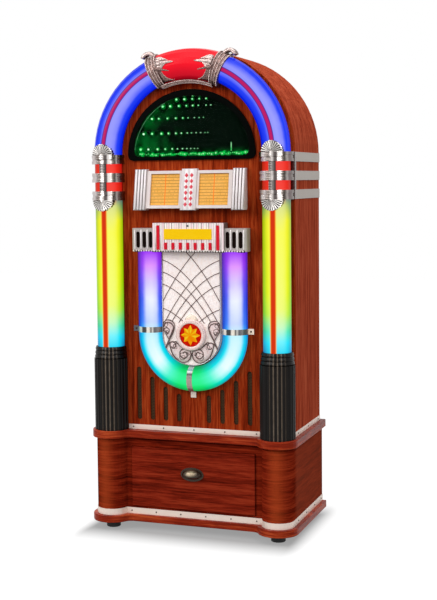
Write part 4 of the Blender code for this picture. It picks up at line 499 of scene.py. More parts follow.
low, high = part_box("foot_strip_front")
places = [(x, low.y, (low.z + high.z) / 2) for x in (-0.186, -0.093, 0, 0.093, 0.186)]
strip_screws("foot_strip_screws", places, TO_FRONT)
low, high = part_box("stand_trim_strip")
FRONT_STRIP_Y = -0.1377
trim_z = (low.z + high.z) / 2
places = [(x, FRONT_STRIP_Y, trim_z) for x in (-0.189, -0.1134, -0.0378, 0.0378, 0.1134, 0.189)]
strip_screws("stand_trim_screws", places, TO_FRONT)
for label, sign in BOTH_SIDES:
    places = [(high.x * sign, y, trim_z) for y in (-0.09, 0.0, 0.09, 0.17)]
    strip_screws(f"stand_trim_screws_{label}", places, (sign, 0, 0))
    foot_low, foot_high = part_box(f"foot_strip_{label}")
    outside_x = foot_high.x if sign > 0 else foot_low.x
    places = [(outside_x, y, (foot_low.z + foot_high.z) / 2) for y in (-0.075, 0.035, 0.15)]
    strip_screws(f"foot_strip_screws_{label}", places, (sign, 0, 0))

# Drawer
# A veneered front on a plain glued box that runs on one centre runner, with a
# pressed shell pull in dark antiqued brass.
drawer_veneer = veneer_finish(
    "drawer_veneer", LEVEL_GRAIN, (76, 17, 8), (130, 35, 18), (158, 54, 30), **SIDE_LACQUER
)
sanded_wood = veneer_finish(
    "sanded_wood", LEVEL_GRAIN, (150, 108, 70), (184, 142, 98), (212, 176, 132), 0.0003
)
dress(drawer_veneer, "drawer_front")
dress(sanded_wood, "drawer_box", "drawer_runner")
old_brass = handled_finish(
    "old_brass", (44, 34, 26), (110, 94, 74), grain=420.0, amount=0.4, polish=0.30, Metallic=0.6
)
# A painted highlight: a bright patch laid over the top of the dome
tree = old_brass.node_tree
spot = axes(tree)
low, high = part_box("cup_pull")
over_crown = product(tree, minus(tree, spot["Z"], high.z - 0.0135), 2.0)
wear_and_painted_highlight = fall_between(tree, length(tree, X=spot["X"], Y=over_crown), 0.002, 0.022)
tint_over(tree, product(tree, wear_and_painted_highlight, 0.85), (196, 176, 146))
dress(old_brass, "cup_pull")

# Cabinet
# One sheet of veneered board bent over the top, a front panel with the grain
# upright, and a dark hardboard cover screwed on behind.
panel_veneer = veneer_finish(
    "panel_veneer", UPRIGHT_GRAIN, (94, 24, 8), (150, 48, 18), (182, 76, 34), **SIDE_LACQUER
)
side_veneer = veneer_finish(
    "side_veneer", UPRIGHT_GRAIN, (130, 48, 31), (176, 73, 48), (196, 94, 64), **SIDE_LACQUER
)
hardboard = handled_finish(
    "hardboard", (38, 31, 27), (70, 58, 48), grain=1400.0, amount=0.8, polish=0.7, bump=0.0004
)
dress(panel_veneer, "front_panel")
dress(side_veneer, "cabinet_shell")
dress(hardboard, "rear_cover", "speaker_baffle")
low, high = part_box("rear_cover")
COVER_SCREW_INSET = 0.012
COVER_SCREW_RADIUS = 0.0046
reach = high.x - COVER_SCREW_INSET
cover_arch_z = high.z - high.x
places = [(side * reach, high.y, z) for side in (-1, 1) for z in (0.310, 0.503, 0.696, 0.889)]
for k in range(7):
    angle = math.pi * k / 6
    places.append((reach * math.cos(angle), high.y, cover_arch_z + reach * math.sin(angle)))
cover_steel = handled_finish(
    "cover_steel", (150, 146, 140), (210, 206, 200), grain=300.0, amount=0.5, polish=0.3, Metallic=0.8
)
screws("cover_screws", places, (0, 1, 0), COVER_SCREW_RADIUS, cover_steel, "pale_metal")

# Perforated sheet: rows of small round holes, set half a pitch apart
perforated, source, sink = effect("perforated", ("Sheet", "Hole"), ("Pitch",))
apart = axes(perforated, source["Place"])
pitches_x = maths(perforated, "DIVIDE", apart["X"], source["Pitch"])
pitches_z = maths(perforated, "DIVIDE", apart["Z"], source["Pitch"])
row = maths(perforated, "FLOOR", pitches_z)
shift = product(perforated, maths(perforated, "MODULO", row, 2.0), 0.5)
over = minus(perforated, maths(perforated, "FRACT", plus(perforated, pitches_x, shift)), 0.5)
up = minus(perforated, maths(perforated, "FRACT", pitches_z), 0.5)
sheet = step_between(perforated, length(perforated, X=over, Y=up), 0.22, 0.34)
dust = noise(perforated, source["Place"], 60.0, 4.0)
dusted = product(perforated, sheet, plus(perforated, dust, 0.45))
feed(perforated, sink, {
    "Colour": mixed(perforated, dusted, source["Hole"], source["Sheet"]),
    "Roughness": 0.55,
    "Height": sheet,
})
slot_mesh = finish(
    "slot_mesh",
    perforated,
    {"Sheet": colour(74, 50, 28), "Hole": colour(14, 6, 4), "Pitch": 0.0044},
    bump=0.0006,
    Specular_IOR_Level=0.1,
)
# Each slot's distance from the middle and the height of its head
SLOTS = ((0.0450, 0.3978), (0.0856, 0.4164), (0.1262, 0.4441), (0.1668, 0.4718))
SLOT_FOOT_Z = 0.3185
SLOT_HALF_WIDTH = 0.0068
SHEET_Y = -0.1190
SHEET_THICK = 0.0008
BLOCK_FACES = ((0, 2, 3, 1), (4, 5, 7, 6), (0, 1, 5, 4), (2, 6, 7, 3), (0, 4, 6, 2), (1, 3, 7, 5))


def slab(low, high):
    """A plain block between two corners, for use inside a bigger piece."""
    points = [(x, y, z) for z in (low[2], high[2]) for y in (low[1], high[1]) for x in (low[0], high[0])]
    return points, BLOCK_FACES


sheets = []
for x, head_z in SLOTS:
    for sign in (-1, 1):
        corner = (sign * x - SLOT_HALF_WIDTH, SHEET_Y, SLOT_FOOT_Z)
        far_corner = (sign * x + SLOT_HALF_WIDTH, SHEET_Y + SHEET_THICK, head_z)
        sheets.append(slab(corner, far_corner))
shape("slot_mesh", *joined(sheets), slot_mesh, "speaker", smooth=False)

# Speakers and amplifier
# Two paper cones in steel frames behind the sound slots, and a black amplifier
# with cooling fins and a mains socket let into the rear cover.
speaker_black = handled_finish(
    "speaker_black", (30, 30, 31), (58, 58, 60), grain=700.0, amount=0.5, polish=0.6, bump=0.0003
)
dress(speaker_black, "speaker_left", "speaker_right")
amplifier_black = handled_finish(
    "amplifier_black", (26, 26, 28), (70, 70, 72), grain=1600.0, amount=0.3, polish=0.45, bump=0.0002
)
dress(amplifier_black, "amplifier_module")

# Column bases
# Fluted drums with a ringed shoulder, moulded in satin black plastic.
# Fluted black: painted highlights, a pale line beside each flute over the side of the drum that faces the
# lamps, broken up by wear
fluted, source, sink = effect("fluted", ("Black", "Line"), ("Across", "Axis"))
apart = axes(fluted, source["Place"])
side_x = product(fluted, maths(fluted, "SIGN", apart["X"]), source["Across"])
east = minus(fluted, apart["X"], side_x)
turn = maths(fluted, "ARCTAN2", east, minus(fluted, source["Axis"], apart["Y"]))
lit = product(fluted, step_between(fluted, turn, -0.35, 0.0), fall_between(fluted, turn, 0.45, 0.95))
FLUTE_COUNT = 26
in_flute = maths(fluted, "FRACT", product(fluted, turn, FLUTE_COUNT / math.tau))
line = product(fluted, fall_between(fluted, in_flute, 0.16, 0.42), lit)
wear_and_painted_highlight = noise(fluted, source["Place"], 70.0, 5.0, 0.6)
line = scaled(fluted, line, plus(fluted, wear_and_painted_highlight, 0.3), 0.0, True)
feed(fluted, sink, {
    "Colour": mixed(fluted, line, source["Black"], source["Line"]),
    "Roughness": scaled(fluted, wear_and_painted_highlight, 0.15, 0.25),
    "Height": wear_and_painted_highlight,
})
COLUMN_X = 0.250
COLUMN_Y = -0.1313
# The Line colour is the painted highlight of the flutes
base_black = finish(
    "base_black",
    fluted,
    {"Black": colour(12, 8, 6), "Line": colour(116, 102, 88), "Across": COLUMN_X, "Axis": COLUMN_Y},
    bump=0.0001,
    Specular_IOR_Level=0.14,
)
dress(base_black, "column_base_left", "column_base_right")

# Column tubes
# Translucent acrylic tubes lit from inside by coloured lamps, with a red
# transparent strip down the front.
COLUMN_RADIUS = 0.0392

# Lamp light in a tube: dim at its sides, saturated beside them, pale towards the front, and a strip over all
lit_tube, source, sink = effect(
    "lit_tube",
    ("Edge", "Body", "Core", "Strip"),
    ("Core amount", "Strip amount", "Front"),
    outputs=("Light", "Roughness", "Height"),
)
DULLED = (0.34, 0.32, 0.36, 1)
ripple = noise(lit_tube, source["Place"], 22.0, 3.0, 0.5)
uneven_front = plus(lit_tube, source["Front"], scaled(lit_tube, ripple, 0.08, -0.04))
dim = mixed(lit_tube, 1.0, source["Edge"], DULLED, "MULTIPLY")
rim_to_edge = mixed(lit_tube, step_between(lit_tube, uneven_front, -0.10, 0.42), dim, source["Edge"])
past_edge = step_between(lit_tube, uneven_front, 0.36, 0.86)
edge_to_body = mixed(lit_tube, past_edge, rim_to_edge, source["Body"])
swell = step_between(lit_tube, uneven_front, 0.72, 1.0)
cored = mixed(lit_tube, product(lit_tube, swell, source["Core amount"]), edge_to_body, source["Core"])
feed(lit_tube, sink, {
    "Light": mixed(lit_tube, source["Strip amount"], cored, source["Strip"]),
    "Roughness": scaled(lit_tube, ripple, 0.12, 0.16),
    "Height": ripple,
})


def opened(material):
    """The tree of a material, the inputs of its group, and the X, Y and Z of each point."""
    tree = material.node_tree
    group = next(node for node in tree.nodes if node.bl_idname == "ShaderNodeGroup")
    return tree, group.inputs, axes(tree)


def tube_finish(name, base):
    """A tube material, still without its light; base is its own display colour."""
    plain = {"Base_Color": colour(*base), "Emission_Strength": 1.0, "Specular_IOR_Level": 0.06}
    return finish(name, lit_tube, {}, bump=0.0002, **plain)


def ramp(tree, value, stops):
    """A colour that runs through pairs of a position and a display colour as the value goes from 0 to 1."""
    node = put(tree, "ValToRGB", {"Fac": value})
    while len(node.color_ramp.elements) < len(stops):
        node.color_ramp.elements.new(1.0)
    for element, (position, shade) in zip(node.color_ramp.elements, stops):
        element.position = position
        element.color = colour(*shade)
    return node.outputs["Color"]


def share_between(tree, value, low, high):
    """How far the value has come from low to high, from 0 to 1."""
    sockets = {"Value": value, "From Min": low, "From Max": high}
    return put(tree, "MapRange", sockets, clamp=True).outputs["Result"]


LIT_TURN = math.radians(20)


def lit_front(tree, apart, bend_z, way, line_reach, axis_y, radius):
    """How far each point lies towards the lit front of a tube that bends past bend_z, 1 at the most.

    The second value is its distance outward from the tube's middle line.
    """
    past = maths(tree, "MAXIMUM" if way > 0 else "MINIMUM", minus(tree, apart["Z"], bend_z), 0.0)
    reach = length(tree, X=apart["X"], Z=past)
    outward = minus(tree, reach, line_reach)
    east = product(tree, apart["X"], maths(tree, "DIVIDE", outward, reach), math.sin(LIT_TURN) / radius)
    south = product(tree, minus(tree, axis_y, apart["Y"]), math.cos(LIT_TURN) / radius)
    return plus(tree, east, south), outward


column_light = tube_finish("column_light", (40, 44, 12))
tree, sockets, apart = opened(column_light)
low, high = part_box("column_tube_right")
height = share_between(tree, apart["Z"], low.z, high.z)
edge = ramp(tree, height, (
    (0.00, (0, 130, 186)), (0.05, (0, 176, 216)), (0.11, (40, 190, 140)), (0.20, (130, 205, 40)),
    (0.34, (160, 205, 0)), (0.66, (176, 200, 10)), (0.735, (110, 150, 90)), (0.77, (88, 110, 112)),
    (0.79, (190, 8, 14)), (1.00, (190, 8, 14)),
))
body = ramp(tree, height, (
    (0.00, (0, 205, 240)), (0.05, (0, 230, 255)), (0.11, (90, 238, 190)), (0.19, (200, 244, 80)),
    (0.30, (236, 248, 36)), (0.66, (246, 244, 40)), (0.735, (190, 205, 110)), (0.77, (120, 140, 140)),
    (0.79, (236, 22, 24)), (1.00, (236, 22, 24)),
))
core = ramp(tree, height, (
    (0.00, (40, 220, 250)), (0.06, (120, 244, 255)), (0.13, (210, 252, 200)), (0.22, (244, 252, 130)),
    (0.60, (250, 252, 96)), (0.735, (225, 230, 150)), (0.78, (246, 60, 60)),
))
ARCH_Z = 1.0829
front, from_line = lit_front(tree, apart, ARCH_Z, 1, COLUMN_X, COLUMN_Y, COLUMN_RADIUS)
off_line = maths(tree, "ABSOLUTE", from_line)
strip_edge = step_between(tree, off_line, 0.0040, 0.0086)
in_strip = fall_between(tree, off_line, 0.0062, 0.0108)
on_front = maths(tree, "GREATER_THAN", front, 0.5)
below_fan = maths(tree, "LESS_THAN", height, 0.775)
feed(tree, sockets, {
    "Edge": edge,
    "Body": body,
    "Core": core,
    "Core amount": 0.9,
    "Front": front,
    "Strip": mixed(tree, strip_edge, colour(212, 26, 0), colour(250, 150, 20)),
    "Strip amount": product(tree, in_strip, on_front, below_fan),
})
dress(column_light, "column_tube_left", "column_tube_right")

# Collars and side straps
# Cast collars in bright chrome with a fluted fan above and below, and flat grey
# straps that carry the three rings on along the side of the cabinet.

# Chrome: painted reflections, dark and bright bars as a studio leaves them on a polished round, over fine
# ribs
streaked, source, sink = effect("streaked", ("Painted reflections", "Dark"), ("Shade",))
fine = noise(streaked, source["Place"], 420.0, 3.0, 0.6)
cloud = noise(streaked, source["Place"], 60.0, 2.0, 0.5)
tint = scaled(streaked, cloud, 0.36, 0.76)
tint = put(streaked, "CombineXYZ", {0: tint, 1: tint, 2: tint}).outputs[0]
toned = mixed(streaked, 1.0, source["Painted reflections"], tint, "MULTIPLY")
apart = axes(streaked, source["Place"])
ribs = maths(streaked, "SINE", product(streaked, apart["Z"], 1450.0))
feed(streaked, sink, {
    "Colour": mixed(streaked, source["Shade"], toned, source["Dark"]),
    "Roughness": scaled(streaked, fine, 0.10, 0.14),
    "Height": plus(streaked, ribs, fine),
})


def streaked_finish(name, metal, bump=0.0):
    """Bright chrome, still without its painted reflection bars."""
    return finish(name, streaked, {"Dark": colour(70, 62, 60)}, bump, Metallic=metal)


collar_chrome = streaked_finish("collar_chrome", 1.0, 0.00015)
tree, sockets, apart = opened(collar_chrome)
side_x = product(tree, maths(tree, "SIGN", apart["X"]), COLUMN_X)
east = minus(tree, apart["X"], side_x)
turn = maths(tree, "ARCTAN2", east, minus(tree, COLUMN_Y, apart["Y"]))
share = share_between(tree, turn, -math.pi / 2, math.pi / 2)
# Painted reflections round the collar: dark and bright bars by the angle from its front
bars = ramp(tree, share, (
    (0.00, (150, 144, 142)), (0.16, (178, 166, 164)), (0.33, (210, 202, 200)), (0.37, (186, 176, 174)),
    (0.41, (104, 95, 90)), (0.455, (100, 92, 88)), (0.49, (206, 198, 194)), (0.515, (216, 210, 206)),
    (0.55, (104, 96, 94)), (0.59, (100, 92, 90)), (0.62, (236, 230, 226)), (0.655, (242, 236, 230)),
    (0.69, (140, 132, 128)), (0.715, (76, 70, 64)), (0.75, (84, 76, 72)), (0.80, (172, 164, 160)),
    (0.85, (128, 116, 116)), (1.00, (124, 116, 112)),
))
# The front bar is in shade where it crosses the two red spaces between the rings
in_spaces = 0.0
for space_low, space_high in ((0.9781, 1.0039), (1.0299, 1.0557)):
    over_foot = maths(tree, "GREATER_THAN", apart["Z"], space_low)
    under_head = maths(tree, "LESS_THAN", apart["Z"], space_high)
    in_spaces = plus(tree, in_spaces, product(tree, over_foot, under_head))
feed(tree, sockets, {"Painted reflections": bars, "Shade": product(tree, in_spaces, 0.72)})
dress(collar_chrome, "column_collar_left", "column_collar_right")

# Lit and shaded copies of one finish: one face of each fan ridge is painted dark as its shade
fan_painted_lit = handled_finish(
    "fan_painted_lit", (224, 218, 212), (252, 248, 244), grain=300.0, amount=0.5, polish=0.3, Metallic=0.5
)
fan_painted_shade = handled_finish(
    "fan_painted_shade", (10, 9, 8), (40, 38, 36), grain=200.0, amount=0.5, polish=0.3, Specular_IOR_Level=0.1
)
FAN_REACH = 0.0306
FAN_CURVE = 0.0534
FAN_RIDGES = 13
FAN_UPPER_Z = 1.0812
FAN_LOWER_Z = 0.9525
RIDGE_ROOT = 0.0035
RIDGE_SHOULDER = FAN_REACH - 0.0028
RIDGE_FACES = (
    (0, 1, 2), (0, 2, 3), (1, 5, 6, 2), (2, 6, 7, 3), (0, 4, 5, 1), (3, 7, 4, 0), (4, 7, 6), (4, 6, 5),
)


def ridged_fan(name, centre_x, edge_z, way):
    """A half disc of sharp radial ridges bent round the collar, each with one face painted bright and one
    painted dark as shade.
    """
    points, faces = [], []

    def on_collar(reach, angle, lift):
        x = reach * math.cos(angle)
        y = COLUMN_Y - math.sqrt((FAN_CURVE + lift) ** 2 - x * x)
        return (centre_x + x, y, edge_z + way * reach * math.sin(angle))

    for k in range(FAN_RIDGES):
        start, stop = math.pi * k / FAN_RIDGES, math.pi * (k + 1) / FAN_RIDGES
        crest = (start + stop) / 2
        base = len(points)
        points += [
            on_collar(RIDGE_ROOT, crest, 0.0010),
            on_collar(RIDGE_SHOULDER, start, 0.0002),
            on_collar(FAN_REACH, crest, 0.0026),
            on_collar(RIDGE_SHOULDER, stop, 0.0002),
            on_collar(RIDGE_ROOT, crest, -0.0010),
            on_collar(RIDGE_SHOULDER, start, -0.0010),
            on_collar(FAN_REACH - 0.0006, crest, -0.0010),
            on_collar(RIDGE_SHOULDER, stop, -0.0010),
        ]
        for face in RIDGE_FACES:
            faces.append([base + i for i in (face if way > 0 else reversed(face))])
    piece = shape(name, points, faces, fan_painted_lit, "chrome", smooth=False)
    piece.data.materials.append(fan_painted_shade)
    for k in range(FAN_RIDGES):
        piece.data.polygons[k * len(RIDGE_FACES) + 1].material_index = 1


for label, sign in BOTH_SIDES:
    ridged_fan(f"fan_upper_{label}", sign * COLUMN_X, FAN_UPPER_Z, 1)
    ridged_fan(f"fan_lower_{label}", sign * COLUMN_X, FAN_LOWER_Z, -1)
strap_grey = handled_finish(
    "strap_grey", (168, 160, 152), (208, 200, 192), grain=260.0, amount=0.4, polish=0.42,
    Metallic=0.35, Specular_IOR_Level=0.2,
)
dress(strap_grey, "side_straps_left", "side_straps_right")

# Arch tube
# A bent acrylic tube lit blue from inside, with a crimson strip between two
# dark lines along its front.
ARCH_TUBE_RADIUS = 0.0400
arch_light = tube_finish("arch_light", (6, 10, 50))
tree, sockets, apart = opened(arch_light)
front, from_line = lit_front(tree, apart, ARCH_Z, 1, COLUMN_X, COLUMN_Y, ARCH_TUBE_RADIUS)
off_line = maths(tree, "ABSOLUTE", from_line)
strip_edge = step_between(tree, off_line, 0.0036, 0.0056)
in_strip = fall_between(tree, off_line, 0.0056, 0.0082)
on_front = maths(tree, "GREATER_THAN", front, 0.5)
feed(tree, sockets, {
    "Edge": colour(0, 34, 226),
    "Body": colour(34, 66, 248),
    "Core": colour(164, 166, 255),
    "Core amount": 0.85,
    "Front": front,
    "Strip": mixed(tree, strip_edge, colour(190, 22, 88), colour(64, 22, 132)),
    "Strip amount": product(tree, in_strip, on_front),
})
dress(arch_light, "arch_tube")

# Crown
# A red acrylic saddle over the top of the arch, between two scrolled castings
# in antiqued silver with roped edges, pointed arms and a ribbed rim below.
CROWN_LINE = 0.2455
CROWN_RADIUS = 0.0458
BAND_RADIUS = 0.0485
crown_light = tube_finish("crown_light", (60, 2, 4))
tree, sockets, apart = opened(crown_light)
reach = length(tree, X=apart["X"], Z=minus(tree, apart["Z"], ARCH_Z))
outward = maths(tree, "DIVIDE", minus(tree, reach, CROWN_LINE), CROWN_RADIUS)
front = maths(tree, "DIVIDE", minus(tree, COLUMN_Y, apart["Y"]), CROWN_RADIUS)
feed(tree, sockets, {
    "Edge": colour(206, 8, 34),
    "Body": colour(250, 20, 40),
    "Core": colour(255, 50, 60),
    "Core amount": 0.8,
    "Front": plus(tree, product(tree, front, 0.75), product(tree, outward, 0.42)),
    "Strip amount": 0.0,
})
dress(crown_light, "arch_crown")

# Antiqued casting: dark in the hollows, rubbed bright on the high spots
patina, source, sink = effect("patina", ("Hollow", "High"), ("Size",))
cells = put(patina, "TexVoronoi", {"Vector": source["Place"], "Scale": source["Size"]}, feature="SMOOTH_F1")
grit = noise(patina, source["Place"], source["Size"], 5.0, 0.65)
relief = minus(patina, grit, product(patina, cells.outputs["Distance"], 0.5))
wear_and_painted_highlight = step_between(patina, relief, 0.02, 0.42)
feed(patina, sink, {
    "Colour": mixed(patina, wear_and_painted_highlight, source["Hollow"], source["High"]),
    "Roughness": scaled(patina, wear_and_painted_highlight, -0.28, 0.52),
    "Height": relief,
})


def patina_finish(name, hollow, high, size=260.0, bump=0.0010, metal=0.85):
    """An antiqued casting in two display colours."""
    values = {"Hollow": colour(*hollow), "High": colour(*high), "Size": size}
    return finish(name, patina, values, bump, Metallic=metal)


silver = patina_finish("antique_silver", (36, 24, 22), (146, 118, 112), 420.0)
silver_bright = patina_finish("antique_silver_rubbed", (74, 56, 54), (214, 192, 186), 520.0, 0.0005)
dress(silver, "crown_casting")


def on_crown(turn, around, radius):
    """A place on the saddle: turn in degrees from straight up, around 0 outward, 90 in front, 180 inward."""
    turn, around = math.radians(turn), math.radians(around)
    out = Vector((math.sin(turn), 0, math.cos(turn)))
    middle = Vector((0, COLUMN_Y, ARCH_Z)) + out * CROWN_LINE
    return middle + (out * math.cos(around) + Vector(TO_FRONT) * math.sin(around)) * radius


def swept(path, radii, sides=8):
    """A round bar along a path, its radius given at each place, with closed ends."""
    path = [Vector(p) for p in path]
    points = []
    side = None
    for n, place in enumerate(path):
        forward = (path[min(n + 1, len(path) - 1)] - path[max(n - 1, 0)]).normalized()
        side = (forward.orthogonal() if side is None else side - forward * side.dot(forward)).normalized()
        other = forward.cross(side)
        for k in range(sides):
            angle = math.tau * k / sides
            points.append(place + (side * math.cos(angle) + other * math.sin(angle)) * radii[n])
    return points, ring_faces(len(path), sides)


def even_bar(path, radius, sides=6):
    """A round bar of one radius along a path."""
    return swept(path, [radius] * len(path), sides)


def bead(place, radius, sides=10, rows=6):
    """A round bead whose poles lie before and behind."""
    angles = [math.pi * (n + 0.5) / rows for n in range(rows)]
    profile = [(radius * math.sin(angle), -radius * math.cos(angle)) for angle in angles]
    return turned(profile, place, TO_FRONT, sides)


def beads_along(path, radius, pitch):
    """Round beads at an even pitch along a path."""
    path = [Vector(p) for p in path]
    parts, owed = [], 0.0
    for start, stop in zip(path, path[1:]):
        run = (stop - start).length
        while owed <= run:
            parts.append(bead(start.lerp(stop, owed / run), radius, 8, 5))
            owed += pitch
        owed -= run
    return parts


# Angles round the tube, and the turn from straight up where the gusset's inner edge lies there
GUSSET_INNER_EDGE = (
    (62, 17.9), (76, 17.2), (90, 16.8), (104, 16.3), (118, 15.6), (130, 14.2), (140, 12.2), (148, 9.6),
)
GUSSET_OUTER_TURN = 18.9
ARM_AROUND = 74
CURL_STEPS = 18
for label, sign in BOTH_SIDES:
    ropes, bars = [], []
    for turn in (19.2, 25.1):
        path = [on_crown(sign * turn, a, BAND_RADIUS + 0.0006) for a in range(-24, 158, 4)]
        ropes += beads_along(path, 0.0021, 0.0036)
    for turn in (21.1, 23.2):
        path = [on_crown(sign * turn, a, BAND_RADIUS + 0.0004) for a in range(-20, 156, 6)]
        bars.append(even_bar(path, 0.0013))
    shape(f"crown_ropes_{label}", *joined(ropes), silver_bright, "pewter")
    shape(f"crown_bars_{label}", *joined(bars), silver_bright, "pewter")

    # Gusset: the casting widens over the lower corner of the saddle, with a roped edge
    points, faces = [], []
    for lift in (0.0010, -0.0010):
        for a, turn in GUSSET_INNER_EDGE:
            for share in (0.0, 0.5, 1.0):
                swell = 0.0008 if share == 0.5 and lift > 0 else 0.0
                here_turn = turn + (GUSSET_OUTER_TURN - turn) * share
                points.append(on_crown(sign * here_turn, a, CROWN_RADIUS + lift + swell))
    rows = len(GUSSET_INNER_EDGE)
    back = rows * 3
    for row in range(rows - 1):
        for column in (0, 1):
            here = row * 3 + column
            faces.append((here, here + 1, here + 4, here + 3))
            faces.append((back + here, back + here + 3, back + here + 4, back + here + 1))
        for column in (0, 2):
            here = row * 3 + column
            side_face = (here, here + 3, back + here + 3, back + here)
            faces.append(side_face if column == 0 else tuple(reversed(side_face)))
    for start in (0, (rows - 1) * 3):
        for column in (0, 1):
            here = start + column
            end_face = (here, back + here, back + here + 1, here + 1)
            faces.append(end_face if start == 0 else tuple(reversed(end_face)))
    shape(f"crown_gusset_{label}", points, faces, silver, "pewter")
    edge_path = [on_crown(sign * turn, a, CROWN_RADIUS + 0.0012) for a, turn in GUSSET_INNER_EDGE]
    edge_beads = beads_along(edge_path, 0.0014, 0.0024)
    shape(f"crown_gusset_edge_{label}", *joined(edge_beads), silver_bright, "pewter")

    # Arm: a pointed finger with leaves at its root, laid on the front of the saddle
    finger = []
    for turn in (18.4, 16.0, 13.5, 11.0, 8.6, 7.0):
        finger.append(on_crown(sign * turn, ARM_AROUND + (18.5 - turn) * 0.5, CROWN_RADIUS + 0.0022))
    leaves = [swept(finger, (0.0078, 0.0072, 0.0058, 0.0044, 0.0032, 0.0012), 8)]
    for start, stop, spread in ((18.2, 12.0, -15), (18.4, 10.6, -8), (18.4, 11.6, 8), (18.2, 13.4, 15)):
        leaf = []
        for n in range(6):
            share = n / 5
            bow = 5 * math.sin(math.pi * share) * (1 if spread > 0 else -1)
            a = ARM_AROUND + spread * (1.25 - 0.85 * share) + bow
            leaf.append(on_crown(sign * (start + (stop - start) * share), a, CROWN_RADIUS + 0.0018))
        leaves.append(swept(leaf, (0.0050, 0.0056, 0.0052, 0.0042, 0.0030, 0.0010), 7))
    shape(f"crown_arm_leaves_{label}", *joined(leaves), silver_bright, "pewter")

    # Curl at the top of the band: a flat ribbed ribbon rolled outward
    curl_middle = on_crown(sign * 24.0, 0, BAND_RADIUS - 0.0050)
    curl = []
    for n in range(CURL_STEPS + 1):
        angle = math.radians(172 - 330 * n / CURL_STEPS)
        reach = 0.0196 * (1 - n / 27)
        curl.append(curl_middle + Vector((-sign * reach * math.cos(angle), 0, reach * math.sin(angle))))
    radii = [0.0062 - 0.00014 * n for n in range(CURL_STEPS + 1)]
    for lane, lane_y in enumerate((-0.0086, 0.0, 0.0086)):
        lane_bar = swept([p + Vector((0, lane_y, 0)) for p in curl], radii, 8)
        shape(f"crown_curl_{label}_{lane + 1}", *lane_bar, silver if lane == 1 else silver_bright, "pewter")

# Ribbed rim along the lower edge of the saddle
rim_lines = []
for a, radius in ((147, 0.0013), (155, 0.0011), (163, 0.0013)):
    line_radius = CROWN_RADIUS + 0.0092 - abs(a - 155) * 0.0002
    rim_lines.append(even_bar([on_crown(turn, a, line_radius) for turn in range(-22, 23, 2)], radius))
shape("crown_rim_lines", *joined(rim_lines), silver_bright, "pewter")

# Window
# A black moulded bezel with a gold line holds dark glass in front of a mirrored
# box, in which rows of green lamps repeat and fade away to the right; the
# repeats are painted reflections, drawn as glowing beads.
bezel_black = handled_finish(
    "bezel_black", (1, 2, 1), (10, 12, 8), grain=500.0, amount=0.2, polish=0.3, Specular_IOR_Level=0.02
)
dress(bezel_black, "window_bezel")

# Painted lamp light: the mirrored box glows green, and is tinted green, towards its left end and along its
# floor where its lamps are
mirror_glow, source, sink = effect(
    "mirror_glow", ("Glow",), ("Left", "Floor"), outputs=("Light", "Colour", "Roughness")
)
apart = axes(mirror_glow, source["Place"])
haze = noise(mirror_glow, source["Place"], 24.0, 3.0, 0.6)
from_left = fall_between(mirror_glow, minus(mirror_glow, apart["X"], source["Left"]), 0.0, 0.17)
from_floor = fall_between(mirror_glow, minus(mirror_glow, apart["Z"], source["Floor"]), 0.004, 0.030)
near_lamps = maths(mirror_glow, "MAXIMUM", from_left, product(mirror_glow, from_floor, 1.3))
lit = product(mirror_glow, near_lamps, step_between(mirror_glow, haze, 0.40, 0.74))
feed(mirror_glow, sink, {
    "Light": mixed(mirror_glow, lit, (0.0, 0.0012, 0.0004, 1), source["Glow"]),
    "Colour": mixed(mirror_glow, lit, (0.0004, 0.002, 0.0008, 1), (0.0, 0.01, 0.003, 1)),
    "Roughness": 0.4,
})
box_low, box_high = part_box("window_light_box")
mirror_dark = finish(
    "mirror_dark",
    mirror_glow,
    {"Glow": colour(0, 112, 40), "Left": box_low.x, "Floor": box_low.z},
    Specular_IOR_Level=0.03,
    Emission_Strength=1.0,
)
dress(mirror_dark, "window_light_box")
window_dark = handled_finish(
    "window_dark", (206, 226, 212), (216, 232, 220), grain=200.0, amount=0.2, polish=0.02,
    unevenness=0.02, bump=0.0, Transmission_Weight=1.0, IOR=1.06, Specular_IOR_Level=0.1,
)
dress(window_dark, "window_glass")

lamp_spot, source, sink = effect("lamp_spot", ("Heart", "Halo"), (), outputs=("Light", "Roughness"))
flicker = step_between(lamp_spot, noise(lamp_spot, source["Place"], 90.0, 1.0), 0.35, 0.6)
light = mixed(lamp_spot, flicker, source["Halo"], source["Heart"])
feed(lamp_spot, sink, {"Light": light, "Roughness": 0.3})


def glowing(name, heart, halo, strength=1.0):
    """A small lamp or the glow round it, in two display colours."""
    values = {"Heart": colour(*heart), "Halo": colour(*halo)}
    plain = {"Base_Color": colour(0, 20, 6), "Emission_Strength": strength, "Specular_IOR_Level": 0.0}
    return finish(name, lamp_spot, values, **plain)


def glow_disc(place, foot, shoulder, top, sides=14):
    """A low disc of light that faces the front; foot, shoulder and top are pairs of radius and height."""
    return turned([foot, shoulder, top], place, TO_FRONT, sides)


# The rows stand for the box's lamps and their repeated reflections in the mirrors: glowing beads that shrink
# towards the right, each in a halo of painted glow, and the first five of each row in a wider outer glow,
# also painted.
LAMP_Y = box_high.y - 0.006
